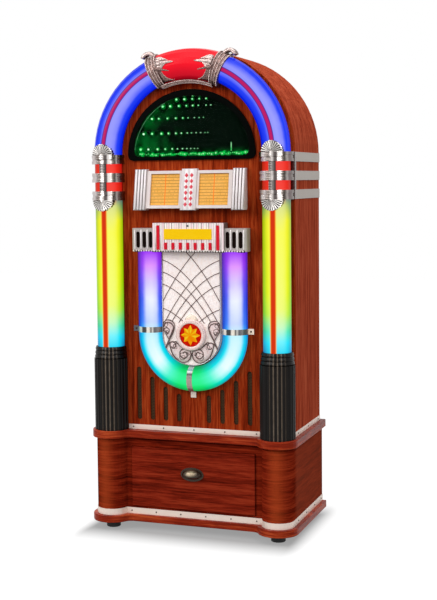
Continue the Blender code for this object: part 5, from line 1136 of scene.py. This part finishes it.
# Height of each row over the floor of the box, size of its first lamp, and the places across
LAMP_ROWS = (
    (0.025, 1.00, (-0.163, -0.139, -0.111, -0.0875, -0.066, -0.050, -0.035, -0.022, -0.010, 0.001, 0.011)),
    (
        0.069, 1.00,
        (-0.153, -0.127, -0.099, -0.077, -0.0547, -0.038, -0.020, -0.0077, 0.0064, 0.020, 0.033, 0.0416),
    ),
    (0.1115, 0.85, (-0.127, -0.106, -0.0800, -0.0547, -0.0335, -0.017, 0.0017, 0.0158, 0.029)),
    (0.1455, 0.95, (-0.0936, -0.071, -0.045, -0.022, -0.003, 0.014, 0.037, 0.051)),
    (0.1640, 0.85, (-0.0514, -0.028, -0.004, 0.0167, 0.037)),
    (0.1740, 0.60, (-0.028, -0.003, 0.018)),
)
LAMP_SHRINK = 0.86
MISTS_IN_ROW = 5
hearts, halos, mists = [], [], []
for height, first, places in LAMP_ROWS:
    z = box_low.z + height
    for number, x in enumerate(places):
        size = first * LAMP_SHRINK**number
        hearts.append(bead((x, LAMP_Y - 0.0022, z), 0.0025 * size + 0.0006))
        foot, shoulder = (0.0052 * size, 0), (0.0044 * size, 0.0006)
        halos.append(glow_disc((x, LAMP_Y + 0.0004, z), foot, shoulder, (0.001, 0.0010)))
        if number < MISTS_IN_ROW:
            foot, shoulder = (0.0088 * size, 0), (0.0074 * size, 0.0004)
            mists.append(glow_disc((x, LAMP_Y + 0.0016, z), foot, shoulder, (0.001, 0.0006)))

# A line of small lamps of uneven size along the floor, each in a disc of painted glow
FLOOR_SPOT_COUNT = 54
random.seed(7)
floor_spots, floor_glow = [], []
for number in range(FLOOR_SPOT_COUNT):
    x = -0.164 + number * 0.0062
    size = random.choice((0.0009, 0.0012, 0.0016, 0.0024))
    z = box_low.z + 0.0080 + random.uniform(0, 0.0045)
    floor_spots.append(bead((x, LAMP_Y - 0.004, z), size, 8, 5))
    foot, shoulder = (size * 2.6, 0), (size * 2.2, 0.0005)
    floor_glow.append(glow_disc((x, LAMP_Y, z), foot, shoulder, (0.0004, 0.0008), 10))
# One upright streak at the right hand end of the floor
streak = [(0.1106, LAMP_Y - 0.003, box_low.z + up) for up in (0.017, 0.041)]
floor_spots.append(swept(streak, (0.0014, 0.0010)))
for name, lights, material in (
    ("window_lamps", hearts, glowing("lamp_heart", (226, 255, 230), (150, 255, 180), 1.5)),
    ("window_lamp_halos", halos, glowing("lamp_halo", (0, 226, 70), (0, 96, 30), 0.9)),
    ("window_lamp_mists", mists, glowing("lamp_mist", (0, 120, 40), (0, 62, 20))),
    ("window_lamp_line", floor_spots, glowing("line_heart", (190, 255, 200), (40, 235, 100), 1.1)),
    ("window_lamp_line_glow", floor_glow, glowing("line_glow", (0, 206, 80), (0, 150, 56))),
):
    shape(name, *joined(lights), material, "mirror_green")


def arc(across, up, middle_z, y, angles):
    """Places round a middle at x = 0: how far the curve reaches across and up, and its angles in degrees."""
    turns = [math.radians(a) for a in angles]
    return [(across * math.cos(turn), y, middle_z + up * math.sin(turn)) for turn in turns]


# A fine gold line round the bezel's outer edge, and a painted highlight, a thin glowing line, on the edge of
# the glass at the left
low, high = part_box("window_bezel")
ARC_Z = low.z + 0.0073
GOLD_REACH = 0.1896
GLASS_REACH = 0.1712
outer_edge = [(low.x + 0.0006, low.y + 0.0008, low.z + 0.018)]
outer_edge += arc(-GOLD_REACH, GOLD_REACH, ARC_Z, low.y + 0.0008, range(4, 177, 4))
gold = handled_finish(
    "gold_line", (150, 128, 62), (206, 188, 112), grain=500.0, amount=0.5, polish=0.3, Metallic=0.6
)
shape("bezel_gold_line", *even_bar(outer_edge, 0.00075), gold, "black_gloss")
glass_edge_highlight = even_bar(arc(-GLASS_REACH, GLASS_REACH, ARC_Z, low.y + 0.0030, range(8, 66, 4)), 0.00055)
shape("glass_edge_line", *glass_edge_highlight, glowing("glass_edge", (110, 170, 130), (40, 110, 70), 0.8), "glass")

# Title panel
# A moulded ivory door, hinged along its foot, with reeded blocks at its ends, a
# reeded strip of red diamonds in the middle and printed cards behind.
ivory = handled_finish(
    "ivory", (214, 200, 196), (246, 238, 234), grain=240.0, amount=0.5, polish=0.24, bump=0.0001,
    Specular_IOR_Level=0.3,
)
dress(ivory, "title_door")
ivory_bright = handled_finish(
    "ivory_bright", (240, 232, 232), (255, 250, 250), grain=240.0, amount=0.5, polish=0.2, bump=0.0001
)
reed_shade = handled_finish("reed_shade", (84, 70, 66), (120, 104, 98), grain=240.0, amount=0.4, polish=0.6)

# Printed card: level ruled lines with faint entries between them, and a divider down each half
card_print, source, sink = effect("card_print", ("Paper", "Line", "Divider"), ("Foot",))
apart = axes(card_print, source["Place"])
LINE_PITCH = 0.00865
DIVIDER_X = 0.0725
cycle = maths(card_print, "DIVIDE", minus(card_print, apart["Z"], source["Foot"]), LINE_PITCH)
cycle = maths(card_print, "FRACT", cycle)
on_line = maths(card_print, "LESS_THAN", cycle, 0.17)
over_foot = maths(card_print, "GREATER_THAN", cycle, 0.36)
under_head = maths(card_print, "LESS_THAN", cycle, 0.84)
stroke_place = stretched(card_print, source["Place"], (1.0, 0.0, 0.35))
strokes = step_between(card_print, noise(card_print, stroke_place, 330.0, 2.0, 0.6), 0.52, 0.62)
off_divider = minus(card_print, maths(card_print, "ABSOLUTE", apart["X"]), DIVIDER_X)
off_divider = maths(card_print, "ABSOLUTE", off_divider)
on_divider = maths(card_print, "LESS_THAN", off_divider, 0.0014)
beside_divider = step_between(card_print, off_divider, 0.005, 0.007)
entry = product(card_print, over_foot, under_head, strokes, beside_divider, 0.42)
tone = noise(card_print, source["Place"], 40.0, 4.0)
paper_tone = mixed(card_print, product(card_print, tone, 0.4), source["Paper"], (1.0, 0.62, 0.24, 1))
ruled = mixed(card_print, product(card_print, on_line, 0.72), paper_tone, source["Line"])
entered = mixed(card_print, entry, ruled, source["Line"])
divided = mixed(card_print, product(card_print, on_divider, 0.85), entered, source["Divider"])
feed(card_print, sink, {"Colour": divided, "Roughness": 0.5, "Height": tone})
low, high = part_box("title_card_sheet")
amber = finish(
    "amber_card",
    card_print,
    {
        "Paper": colour(238, 170, 62),
        "Line": colour(112, 72, 20),
        "Divider": colour(255, 122, 22),
        "Foot": low.z + 0.0035,
    },
    bump=0.0001,
    Specular_IOR_Level=0.1,
)
dress(amber, "title_card_sheet")

# The y and z of the foot and of the head of the door's leaning face
DOOR_FOOT = (-0.1587, 0.9240)
DOOR_HEAD = (-0.1374, 1.0395)


def on_door(x, share, proud):
    """A place on the leaning face of the door: share of the way up, and how far it stands off."""
    lean = Vector((0, DOOR_HEAD[0] - DOOR_FOOT[0], DOOR_HEAD[1] - DOOR_FOOT[1]))
    off = Vector((0, -lean.z, lean.y)).normalized()
    return Vector((x, DOOR_FOOT[0], DOOR_FOOT[1])) + lean * share + off * proud


def reed(x, half, proud, foot, head, sides=7):
    """A half round bar up the door's face, lower at its two ends."""
    points, faces = [], []
    for share, swell in ((foot, 0.35), (foot + 0.012, 1.0), (head - 0.012, 1.0), (head, 0.35)):
        for k in range(sides):
            angle = math.pi * k / (sides - 1)
            stand_off = 0.00015 + proud * swell * math.sin(angle)
            points.append(on_door(x - half * math.cos(angle), share, stand_off))
    for row in range(3):
        for k in range(sides - 1):
            here = row * sides + k
            faces.append((here, here + 1, here + sides + 1, here + sides))
        here = row * sides
        faces.append((here + sides - 1, here, here + sides, here + 2 * sides - 1))
    faces.append(tuple(reversed(range(sides))))
    faces.append(tuple(range(3 * sides, 4 * sides)))
    return points, faces


def panel_on_door(left, right, foot, head, thick):
    """A thin plate on the door's face."""
    points = [on_door(x, share, off) for off in (0.0, thick) for share in (foot, head) for x in (left, right)]
    return points, BLOCK_FACES


REED_BLOCK_X = 0.1460
REED_BLOCK_HALF = 0.0177
for label, sign in BOTH_SIDES:
    reeds = [reed(sign * (0.1325 + 0.0090 * n), 0.0033, 0.0030, 0.010, 0.990) for n in range(4)]
    shape(f"title_reeds_{label}", *joined(reeds), ivory_bright, "ivory", "title_panel")
    middle_x = sign * REED_BLOCK_X
    shade = panel_on_door(middle_x - REED_BLOCK_HALF, middle_x + REED_BLOCK_HALF, 0.004, 0.996, 0.0003)
    shape(f"title_reed_shade_{label}", *shade, reed_shade, "ivory", "title_panel", smooth=False)
DIAMOND_X = 0.0077
FINE_REED_XS = (-0.0205, -0.0172, -0.0139, 0.0, 0.0139, 0.0172, 0.0205)
strip_reeds = [reed(x, 0.0011, 0.0012, 0.004, 0.996, 5) for x in FINE_REED_XS]
strip_reeds += [reed(x, 0.0052, 0.0007, 0.004, 0.996, 7) for x in (-DIAMOND_X, DIAMOND_X)]
shape("title_strip_reeds", *joined(strip_reeds), ivory_bright, "ivory", "title_panel")
diamond_red = handled_finish(
    "diamond_red", (204, 8, 44), (214, 24, 62), grain=300.0, amount=0.4, polish=0.3, bump=0.00005
)
DIAMOND_CORNERS = ((-0.0055, 0), (0, 0.060), (0.0055, 0), (0, -0.060))
DIAMOND_FACES = (
    (0, 2, 1), (0, 3, 2), (0, 4, 3), (0, 1, 4), (5, 6, 7, 8),
    (1, 2, 6, 5), (2, 3, 7, 6), (3, 4, 8, 7), (4, 1, 5, 8),
)
DIAMONDS_IN_ROW = 6
diamonds = []
for x in (-DIAMOND_X, DIAMOND_X):
    for n in range(DIAMONDS_IN_ROW):
        share = 0.137 + 0.1405 * n
        points = [on_door(x, share, 0.0016)]
        for off in (0.0010, 0.0003):
            points += [on_door(x + aside, share + above, off) for aside, above in DIAMOND_CORNERS]
        diamonds.append((points, DIAMOND_FACES))
shape("title_diamonds", *joined(diamonds), diamond_red, "key_red", "title_panel", smooth=False)

# Disc unit
# A black moulded deck behind the door, with a spindle motor, a turned hub, a
# small pickup sled and two turned knobs.
deck_black = handled_finish(
    "deck_black", (30, 30, 33), (64, 64, 68), grain=1200.0, amount=0.3, polish=0.42, bump=0.0002
)
dress(deck_black, "disc_deck", "pickup_sled")
plain_steel = handled_finish(
    "plain_steel", (150, 150, 152), (196, 196, 198), grain=500.0, amount=0.4, polish=0.30, Metallic=0.95
)
dress(plain_steel, "spindle_motor", "spindle_hub", "volume_knob", "tuning_knob")

# Console
# A plated moulding over the grille: two grey slatted wings, a reeded block with
# two long red bars, a row of red keys and a plain yellow plate.

# Plated and painted face: cream reeds of uneven tone on the block, brushed grey on the wings
plated, source, sink = effect("plated", ("Cream", "Rose", "Grey"), ("Half",))
apart = axes(plated, source["Place"])
on_block = maths(plated, "LESS_THAN", maths(plated, "ABSOLUTE", apart["X"]), source["Half"])
lane = noise(plated, put(plated, "CombineXYZ", {0: apart["X"]}).outputs[0], 130.0, 0.0)
reeded = mixed(plated, step_between(plated, lane, 0.40, 0.60), source["Cream"], source["Rose"])
# Painted shade: a fine dark groove every third of a key, a deep one beside each key, and shade on what lies
# further back
KEY_PITCH = 0.0221
key_run = maths(plated, "DIVIDE", plus(plated, apart["X"], 0.2254), KEY_PITCH)
key_run = maths(plated, "FRACT", key_run)
third_run = maths(plated, "FRACT", product(plated, key_run, 3.0))
fine_groove_shade = maths(plated, "LESS_THAN", third_run, 0.22)
deep_groove_shade = maths(plated, "LESS_THAN", key_run, 0.075)
behind = maths(plated, "GREATER_THAN", apart["Y"], -0.1575)
reeded = mixed(plated, product(plated, fine_groove_shade, 0.42), reeded, colour(120, 100, 104))
reeded = mixed(plated, product(plated, deep_groove_shade, 0.85), reeded, colour(62, 50, 52))
reeded = mixed(plated, product(plated, behind, 0.86), reeded, colour(66, 52, 46))
brushed = noise(plated, stretched(plated, source["Place"], (1.0, 1.0, 0.08)), 260.0, 4.0, 0.6)
grey = mixed(plated, product(plated, brushed, 0.5), source["Grey"], colour(222, 214, 210))
feed(plated, sink, {
    "Colour": mixed(plated, on_block, grey, reeded),
    "Roughness": scaled(plated, brushed, 0.2, 0.2),
    "Height": brushed,
})
console_face = finish(
    "console_face",
    plated,
    {
        "Cream": colour(255, 252, 246),
        "Rose": colour(250, 226, 230),
        "Grey": colour(164, 154, 150),
        "Half": 0.1058,
    },
    bump=0.0001,
    Specular_IOR_Level=0.25,
)
dress(console_face, "console_body")
key_red = handled_finish(
    "key_red", (214, 4, 36), (230, 30, 58), grain=400.0, amount=0.3, polish=0.2, bump=0.00005,
    Specular_IOR_Level=0.2,
)
dress(key_red, *[f"selector_key_{n}" for n in range(1, 8)])
sign_yellow = handled_finish(
    "sign_yellow", (255, 204, 0), (255, 214, 24), grain=300.0, amount=0.3, polish=0.25, bump=0.00005,
    Specular_IOR_Level=0.1,
)
dress(sign_yellow, "console_sign")
low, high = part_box("console_body")
BLOCK_FACE_Y = low.y
BAR_X = 0.0888
BAR_Z = (0.8128, 0.8808)
BAR_EDGE_Z = (0.8095, 0.8868)
BAR_CAP_Z = 0.8835
EYE_Z = 0.8798
for label, sign in BOTH_SIDES:
    middle_x = sign * BAR_X
    corner = (middle_x - 0.0044, BLOCK_FACE_Y - 0.0020, BAR_Z[0])
    far_corner = (middle_x + 0.0044, BLOCK_FACE_Y - 0.0002, BAR_Z[1])
    shape(f"console_bar_{label}", *slab(corner, far_corner), key_red, "key_red", smooth=False)
    cap = bead((middle_x, BLOCK_FACE_Y - 0.0006, BAR_CAP_Z), 0.0024, 12, 7)
    shape(f"console_bar_cap_{label}", *cap, ivory_bright, "ivory")
    edges = []
    for x in (middle_x - 0.0075, middle_x + 0.0075):
        edges.append(even_bar([(x, BLOCK_FACE_Y - 0.0002, z) for z in BAR_EDGE_Z], 0.0016, 8))
    shape(f"console_bar_edges_{label}", *joined(edges), ivory_bright, "ivory")
EYE_PROFILE = ((0.0028, 0), (0.0028, 0.0010), (0.0018, 0.0016))
eye = turned(EYE_PROFILE, (0, BLOCK_FACE_Y, EYE_Z), TO_FRONT)
shape("console_eye", *eye, deck_black, "deck_black")
painted_shade_black = handled_finish(
    "painted_shade_black", (20, 10, 8), (40, 24, 20), grain=500.0, amount=0.4, polish=0.6, Specular_IOR_Level=0.02
)

# A beaded lip runs along the foot of the wings and of the block
WING_Y = BLOCK_FACE_Y + 0.006
LIP_Z = 0.8090
left_lip = [
    (-0.1655, WING_Y - 0.0006, LIP_Z),
    (-0.1068, WING_Y - 0.0006, LIP_Z),
    (-0.1060, BLOCK_FACE_Y - 0.0006, LIP_Z),
]
lip = left_lip + [(-x, y, z) for x, y, z in reversed(left_lip)]
lip_pale = patina_finish("lip_pale", (150, 138, 132), (250, 244, 238), 200.0, 0.0004, 0.2)
shape("console_lip", *joined(beads_along(lip, 0.0030, 0.0078)), lip_pale, "pewter")
# A dark bar just behind and below the beads is their painted shadow
under_lip = [(x, y + 0.0012, z - 0.0006) for x, y, z in lip]
shape("console_lip_shade", *even_bar(under_lip, 0.0026, 8), painted_shade_black, "deck_black")

# Pale ribs between the vents of each wing, and a dark sheet inside them as painted shade
RIB_OFFSET = 0.0095
VENT_XS = (0.1147, 0.1337, 0.1527)
RIB_PROFILE = ((-0.0002, 0.8130), (-0.0006, 0.8160), (-0.0006, 0.8660), (0.0, 0.8690))
VENT_BACK_X = 0.138
VENT_BACK_HALF = 0.0295
ribs, backs = [], []
for sign in (-1, 1):
    for x in VENT_XS:
        path = [(sign * (x + RIB_OFFSET), WING_Y + off, z) for off, z in RIB_PROFILE]
        ribs.append(swept(path, (0.0016, 0.0022, 0.0022, 0.0014), 8))
    corner = (sign * VENT_BACK_X - VENT_BACK_HALF, WING_Y + 0.0036, RIB_PROFILE[0][1])
    far_corner = (sign * VENT_BACK_X + VENT_BACK_HALF, WING_Y + 0.0041, RIB_PROFILE[-1][1])
    backs.append(slab(corner, far_corner))
shape("console_ribs", *joined(ribs), ivory_bright, "pewter")
shape("console_vent_painted_shade", *joined(backs), painted_shade_black, "deck_black", smooth=False)

# U tube
# A bent acrylic tube lit from inside, violet at its ends, blue and cyan down
# its legs and green at the bottom, held by three plated bands.
U_RADIUS = 0.1262
U_Z = 0.5710
U_TUBE_RADIUS = 0.0365
U_BACK_Y = -0.1230
u_light = tube_finish("u_light", (8, 30, 50))
tree, sockets, apart = opened(u_light)
low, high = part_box("u_tube")
# Height of the tube's centre line beside each point, so that the colours turn with the bend
drop = minus(tree, apart["Z"], U_Z)
reach = length(tree, X=apart["X"], Z=drop)
on_bend = product(tree, drop, maths(tree, "DIVIDE", U_RADIUS, reach))
below = maths(tree, "LESS_THAN", drop, 0.0)
above = minus(tree, 1.0, below)
line_drop = plus(tree, product(tree, below, on_bend), product(tree, above, drop))
height = share_between(tree, plus(tree, line_drop, U_Z), low.z, high.z)
edge = ramp(tree, height, (
    (0.00, (0, 150, 50)), (0.10, (0, 170, 80)), (0.13, (0, 176, 150)), (0.17, (0, 170, 196)),
    (0.40, (0, 140, 206)), (0.47, (10, 72, 206)), (0.66, (16, 46, 190)), (0.80, (60, 44, 190)),
    (0.92, (92, 30, 186)), (1.00, (96, 20, 176)),
))
body = ramp(tree, height, (
    (0.00, (0, 222, 76)), (0.10, (0, 228, 100)), (0.13, (0, 232, 180)), (0.17, (0, 236, 236)),
    (0.30, (10, 232, 250)), (0.41, (40, 206, 250)), (0.50, (70, 132, 252)), (0.66, (76, 100, 250)),
    (0.80, (120, 80, 250)), (0.92, (156, 56, 246)), (1.00, (140, 30, 230)),
))
core = ramp(tree, height, (
    (0.00, (20, 240, 110)), (0.10, (50, 246, 150)), (0.13, (90, 250, 210)), (0.17, (200, 255, 250)),
    (0.21, (240, 255, 255)), (0.42, (200, 246, 255)), (0.50, (206, 220, 255)), (0.66, (240, 244, 255)),
    (0.78, (222, 206, 255)), (0.90, (228, 150, 255)), (1.00, (160, 50, 246)),
))
front, from_line = lit_front(tree, apart, U_Z, -1, U_RADIUS, U_BACK_Y, U_TUBE_RADIUS)
feed(
    tree,
    sockets,
    {"Edge": edge, "Body": body, "Core": core, "Core amount": 1.0, "Front": front, "Strip amount": 0.0},
)
dress(u_light, "u_tube")

# Painted reflections on the chrome bands: bars across them, in pairs of a place from side to side and a
# display colour
BAND_REFLECTIONS = (
    (0.00, (90, 92, 100)), (0.10, (150, 160, 176)), (0.20, (226, 222, 216)),
    (0.27, (240, 234, 226)), (0.33, (52, 58, 60)), (0.47, (58, 64, 66)), (0.52, (246, 240, 228)),
    (0.60, (250, 240, 222)), (0.66, (80, 80, 84)), (0.71, (232, 228, 220)), (0.77, (96, 96, 104)),
    (0.90, (150, 146, 146)), (0.99, (110, 112, 122)), (1.00, (255, 232, 212)),
)
FOOT_BAND_REFLECTIONS = (
    (0.00, (226, 212, 200)), (0.06, (190, 172, 162)), (0.55, (176, 158, 148)),
    (0.66, (120, 110, 108)), (0.72, (60, 58, 58)), (0.80, (236, 240, 238)), (0.86, (90, 150, 150)),
    (0.92, (206, 226, 222)), (1.00, (110, 110, 110)),
)
BAND_HALF_WIDTH = 0.0386
for node, name, axis, middle, band_reflections in (
    ("u_band_left", "band_chrome_left", "X", -U_RADIUS, BAND_REFLECTIONS),
    ("u_band_right", "band_chrome_right", "X", U_RADIUS, BAND_REFLECTIONS),
    ("u_band_bottom", "band_chrome_bottom", "Z", U_Z - U_RADIUS, FOOT_BAND_REFLECTIONS),
):
    band_chrome = streaked_finish(name, 0.35)
    tree, sockets, apart = opened(band_chrome)
    across_band = minus(tree, apart[axis], middle)
    share = share_between(tree, across_band, -BAND_HALF_WIDTH, BAND_HALF_WIDTH)
    feed(tree, sockets, {"Painted reflections": ramp(tree, share, band_reflections)})
    dress(band_chrome, node)
TAB_X = U_RADIUS + 0.0465
TAB_Z = 0.584
tabs = [(sign * TAB_X, U_BACK_Y - 0.0013, TAB_Z) for sign in (-1, 1)]
screws("u_band_screws", tabs, TO_FRONT, 0.0028, dark_steel, "chrome")

# Grille
# Cream speaker cloth on a board, behind a bent wire casting in dark pewter with
# pale scrolls, and a red lens with a faceted star in a beaded rim.
cloth, source, sink = effect("speaker_cloth", ("Thread", "Shade"), ("Count",))
woven = put(cloth, "VectorMath", {0: source["Place"], "Scale": source["Count"]}, operation="SCALE")
threads = axes(cloth, woven.outputs[0])
warp = maths(cloth, "ABSOLUTE", maths(cloth, "SINE", threads["X"]))
weft = maths(cloth, "ABSOLUTE", maths(cloth, "SINE", threads["Z"]))
weave = maths(cloth, "MAXIMUM", warp, weft)
mottle = noise(cloth, source["Place"], 110.0, 5.0, 0.7)
shadow = product(cloth, step_between(cloth, mottle, 0.44, 0.64), 0.8)
holes = product(cloth, fall_between(cloth, weave, 0.35, 0.75), 0.6)
tone = maths(cloth, "MAXIMUM", shadow, holes)
thread_tone = mixed(cloth, tone, source["Thread"], source["Shade"])
feed(cloth, sink, {"Colour": thread_tone, "Roughness": 0.85, "Height": weave})
# The cloth has a faint glow of its own, painted light that lifts it above what the lamps give it
cream_cloth = finish(
    "cream_cloth",
    cloth,
    {"Thread": colour(255, 247, 244), "Shade": colour(246, 228, 222), "Count": 2600.0},
    bump=0.0003,
    Specular_IOR_Level=0.1,
    Emission_Color=colour(255, 236, 226),
    Emission_Strength=0.16,
)
dress(cream_cloth, "grille_board")
pewter = patina_finish("pewter", (30, 20, 19), (112, 84, 80), 260.0, 0.0006, 0.3)
dress(pewter, "grille_casting")
pale_scroll = patina_finish("pale_scroll", (222, 186, 182), (248, 228, 226), 240.0, 0.0006, 0.0)
scroll_dark = patina_finish("scroll_dark", (34, 24, 22), (96, 76, 70), 240.0, 0.0004, 0.3)
low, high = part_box("grille_board")
CLOTH_Y = low.y


def leaf_plate(outline, y_back, y_front, sign):
    """A flat leaf with a raised middle, from its outline in x and z."""
    count = len(outline)
    middle_x = sum(x for x, z in outline) / count
    middle_z = sum(z for x, z in outline) / count
    points = []
    for size, y in ((1.0, y_back), (0.96, y_front + 0.0010), (0.55, y_front)):
        for x, z in outline:
            points.append((sign * (x * size + middle_x * (1 - size)), y, z * size + middle_z * (1 - size)))
    points.append((sign * middle_x, y_front - 0.0002, middle_z))
    faces = []
    for k in range(count):
        after = (k + 1) % count
        faces.append((k, after, count + after, count + k))
        faces.append((count + k, count + after, 2 * count + after, 2 * count + k))
        faces.append((2 * count + k, 2 * count + after, 3 * count))
    faces.append(tuple(reversed(range(count))))
    return points, [tuple(reversed(face)) if sign < 0 else face for face in faces]


def curl_line(x, z, reach, start, turn, steps, shrink=0.78):
    """A curl that winds in from its outer end, as places in x and z."""
    places = []
    for n in range(steps + 1):
        angle = math.radians(start + turn * n / steps)
        here = reach * (1 - shrink * n / steps)
        places.append((x + here * math.cos(angle), z + here * math.sin(angle)))
    return places


UPPER_LEAF = (
    (0.0845, 0.6040), (0.0780, 0.6105), (0.0700, 0.6125), (0.0620, 0.6105), (0.0550, 0.6065),
    (0.0500, 0.5985), (0.0505, 0.5890), (0.0545, 0.5780), (0.0600, 0.5670), (0.0660, 0.5570),
    (0.0705, 0.5590), (0.0750, 0.5670), (0.0800, 0.5740), (0.0840, 0.5860),
)
LOWER_LEAF = (
    (0.0640, 0.5480), (0.0560, 0.5500), (0.0480, 0.5505), (0.0400, 0.5440), (0.0330, 0.5370),
    (0.0235, 0.5300), (0.0140, 0.5270), (0.0040, 0.5250), (0.0012, 0.5150), (0.0050, 0.5020),
    (0.0120, 0.4945), (0.0250, 0.4905), (0.0370, 0.4950), (0.0480, 0.5030), (0.0570, 0.5130),
    (0.0625, 0.5260), (0.0655, 0.5380),
)
LEAF_CURLS = (
    (0.0775, 0.5975, 0.0085, 60, 400),
    (0.0730, 0.5775, 0.0065, -60, -380),
    (0.0480, 0.5360, 0.0090, 110, -420),
    (0.0260, 0.5075, 0.0125, 100, -460),
    (0.0120, 0.5180, 0.0060, 200, 380),
)
LEAF_CURL_STEPS = 16
for label, sign in BOTH_SIDES:
    leaves, lines = [], []
    for outline, thick in ((UPPER_LEAF, 0.0011), (LOWER_LEAF, 0.0012)):
        leaves.append(leaf_plate(outline, CLOTH_Y - 0.0002, CLOTH_Y - 0.0032, sign))
        closed = [(sign * x, CLOTH_Y - 0.0024, z) for x, z in outline + outline[:1]]
        radii = [thick * (0.7 + 0.9 * (math.sin(n * 0.55) ** 2)) for n in range(len(closed))]
        lines.append(swept(closed, radii, 6))
    for x, z, reach, start, turn in LEAF_CURLS:
        curl = curl_line(x, z, reach, start, turn, LEAF_CURL_STEPS)
        radii = [0.00095 - 0.00003 * n for n in range(LEAF_CURL_STEPS + 1)]
        lines.append(swept([(sign * a, CLOTH_Y - 0.0034, b) for a, b in curl], radii, 6))
    shape(f"grille_leaves_{label}", *joined(leaves), pale_scroll, "pewter")
    shape(f"grille_leaf_lines_{label}", *joined(lines), scroll_dark, "pewter")
CREST = (
    (0.0190, 0.6120), (0.0165, 0.6200), (0.0090, 0.6260), (0.0, 0.6285), (-0.0090, 0.6260),
    (-0.0165, 0.6200), (-0.0190, 0.6120), (0.0, 0.6090),
)
cream_crest = patina_finish("cream_crest", (232, 206, 184), (252, 238, 218), 200.0, 0.0005, 0.05)
shape("grille_crest", *leaf_plate(CREST, CLOTH_Y - 0.0002, CLOTH_Y - 0.0060, 1), cream_crest, "pewter")

# Medallion: pale rim with a ring of beads, red dome, eight pointed star
RIM_BACK_Y = CLOTH_Y - 0.0003
RIM_PROFILE = (
    (0.0332, 0.0122), (0.0350, 0.0129), (0.0385, 0.0130), (0.0430, 0.0124), (0.0446, 0.0100),
    (0.0446, 0.0), (0.0332, 0.0),
)
RIM_SIDES = 48


def round_lens(radius, y, k, count):
    """The place of step k of count on a circle round the middle of the lens."""
    angle = math.tau * k / count
    return (radius * math.sin(angle), y, U_Z + radius * math.cos(angle))


points, faces = [], []
for radius, along in RIM_PROFILE:
    points += [round_lens(radius, RIM_BACK_Y - along, k, RIM_SIDES) for k in range(RIM_SIDES)]
for row in range(len(RIM_PROFILE)):
    start, next_start = row * RIM_SIDES, (row + 1) % len(RIM_PROFILE) * RIM_SIDES
    for k in range(RIM_SIDES):
        after = (k + 1) % RIM_SIDES
        faces.append((start + k, start + after, next_start + after, next_start + k))
rim_pale = patina_finish("rim_pale", (226, 194, 188), (250, 226, 220), 300.0, 0.0004, 0.05)
shape("medallion_rim", points, faces, rim_pale, "pewter")
BEAD_COUNT = 44
dots = [bead(round_lens(0.0408, RIM_BACK_Y - 0.0128, k, BEAD_COUNT), 0.0011, 8, 5) for k in range(BEAD_COUNT)]
bead_shade = patina_finish("bead_shade", (150, 110, 104), (220, 190, 184), 300.0, 0.0002, 0.1)
shape("medallion_beads", *joined(dots), bead_shade, "pewter")
lens_red = glowing("lens_red", (226, 20, 8), (206, 8, 4), 0.8)
dress(lens_red, "medallion_lens")
star_yellow = glowing("star_yellow", (255, 214, 36), (255, 190, 10), 0.85)
# The star's orange faces, one on each point and two more low down, are painted shade
star_shaded_orange = glowing("star_shaded_orange", (255, 170, 10), (255, 142, 0), 0.85)
lens_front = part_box("medallion_lens")[0].y
STAR_POINTS = 16
points = [(0, lens_front - 0.0020, U_Z)]
for k in range(STAR_POINTS):
    if k % 2:
        radius, drop = 0.0178, 0.0002
    else:
        radius, drop = (0.0270 if k % 4 else 0.0284), 0.0028
    points.append(round_lens(radius, lens_front + drop, k, STAR_POINTS))
points += [(x, y + 0.0030, z) for x, y, z in points[1:]]
points.append((0, lens_front + 0.0070, U_Z))
faces, sides, backs = [], [], []
for k in range(STAR_POINTS):
    here, after = 1 + k, 1 + (k + 1) % STAR_POINTS
    faces.append((0, after, here))
    sides.append((here, after, after + STAR_POINTS, here + STAR_POINTS))
    backs.append((len(points) - 1, here + STAR_POINTS, after + STAR_POINTS))
star = shape("medallion_star", points, faces + sides + backs, star_yellow, "lens_red", smooth=False)
star.data.materials.append(star_shaded_orange)
for k in range(STAR_POINTS):
    star.data.polygons[k].material_index = 1 if k % 2 or k in (6, 8) else 0

# Pale edge of the moulding between the cloth and the tube
EDGE_REACH = 0.0868
EDGE_HEAD_Z = 0.8068
edge_y = CLOTH_Y - 0.0022
edge_path = [(EDGE_REACH, edge_y, EDGE_HEAD_Z)]
edge_path += arc(EDGE_REACH, -EDGE_REACH, U_Z, edge_y, range(0, 181, 6))
edge_path.append((-EDGE_REACH, edge_y, EDGE_HEAD_Z))
edge_metal = handled_finish(
    "edge_metal", (150, 150, 156), (236, 240, 246), grain=300.0, amount=0.7, polish=0.2, Metallic=0.9
)
shape("grille_edge", *even_bar(edge_path, 0.0011), edge_metal, "pale_metal")

low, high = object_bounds()
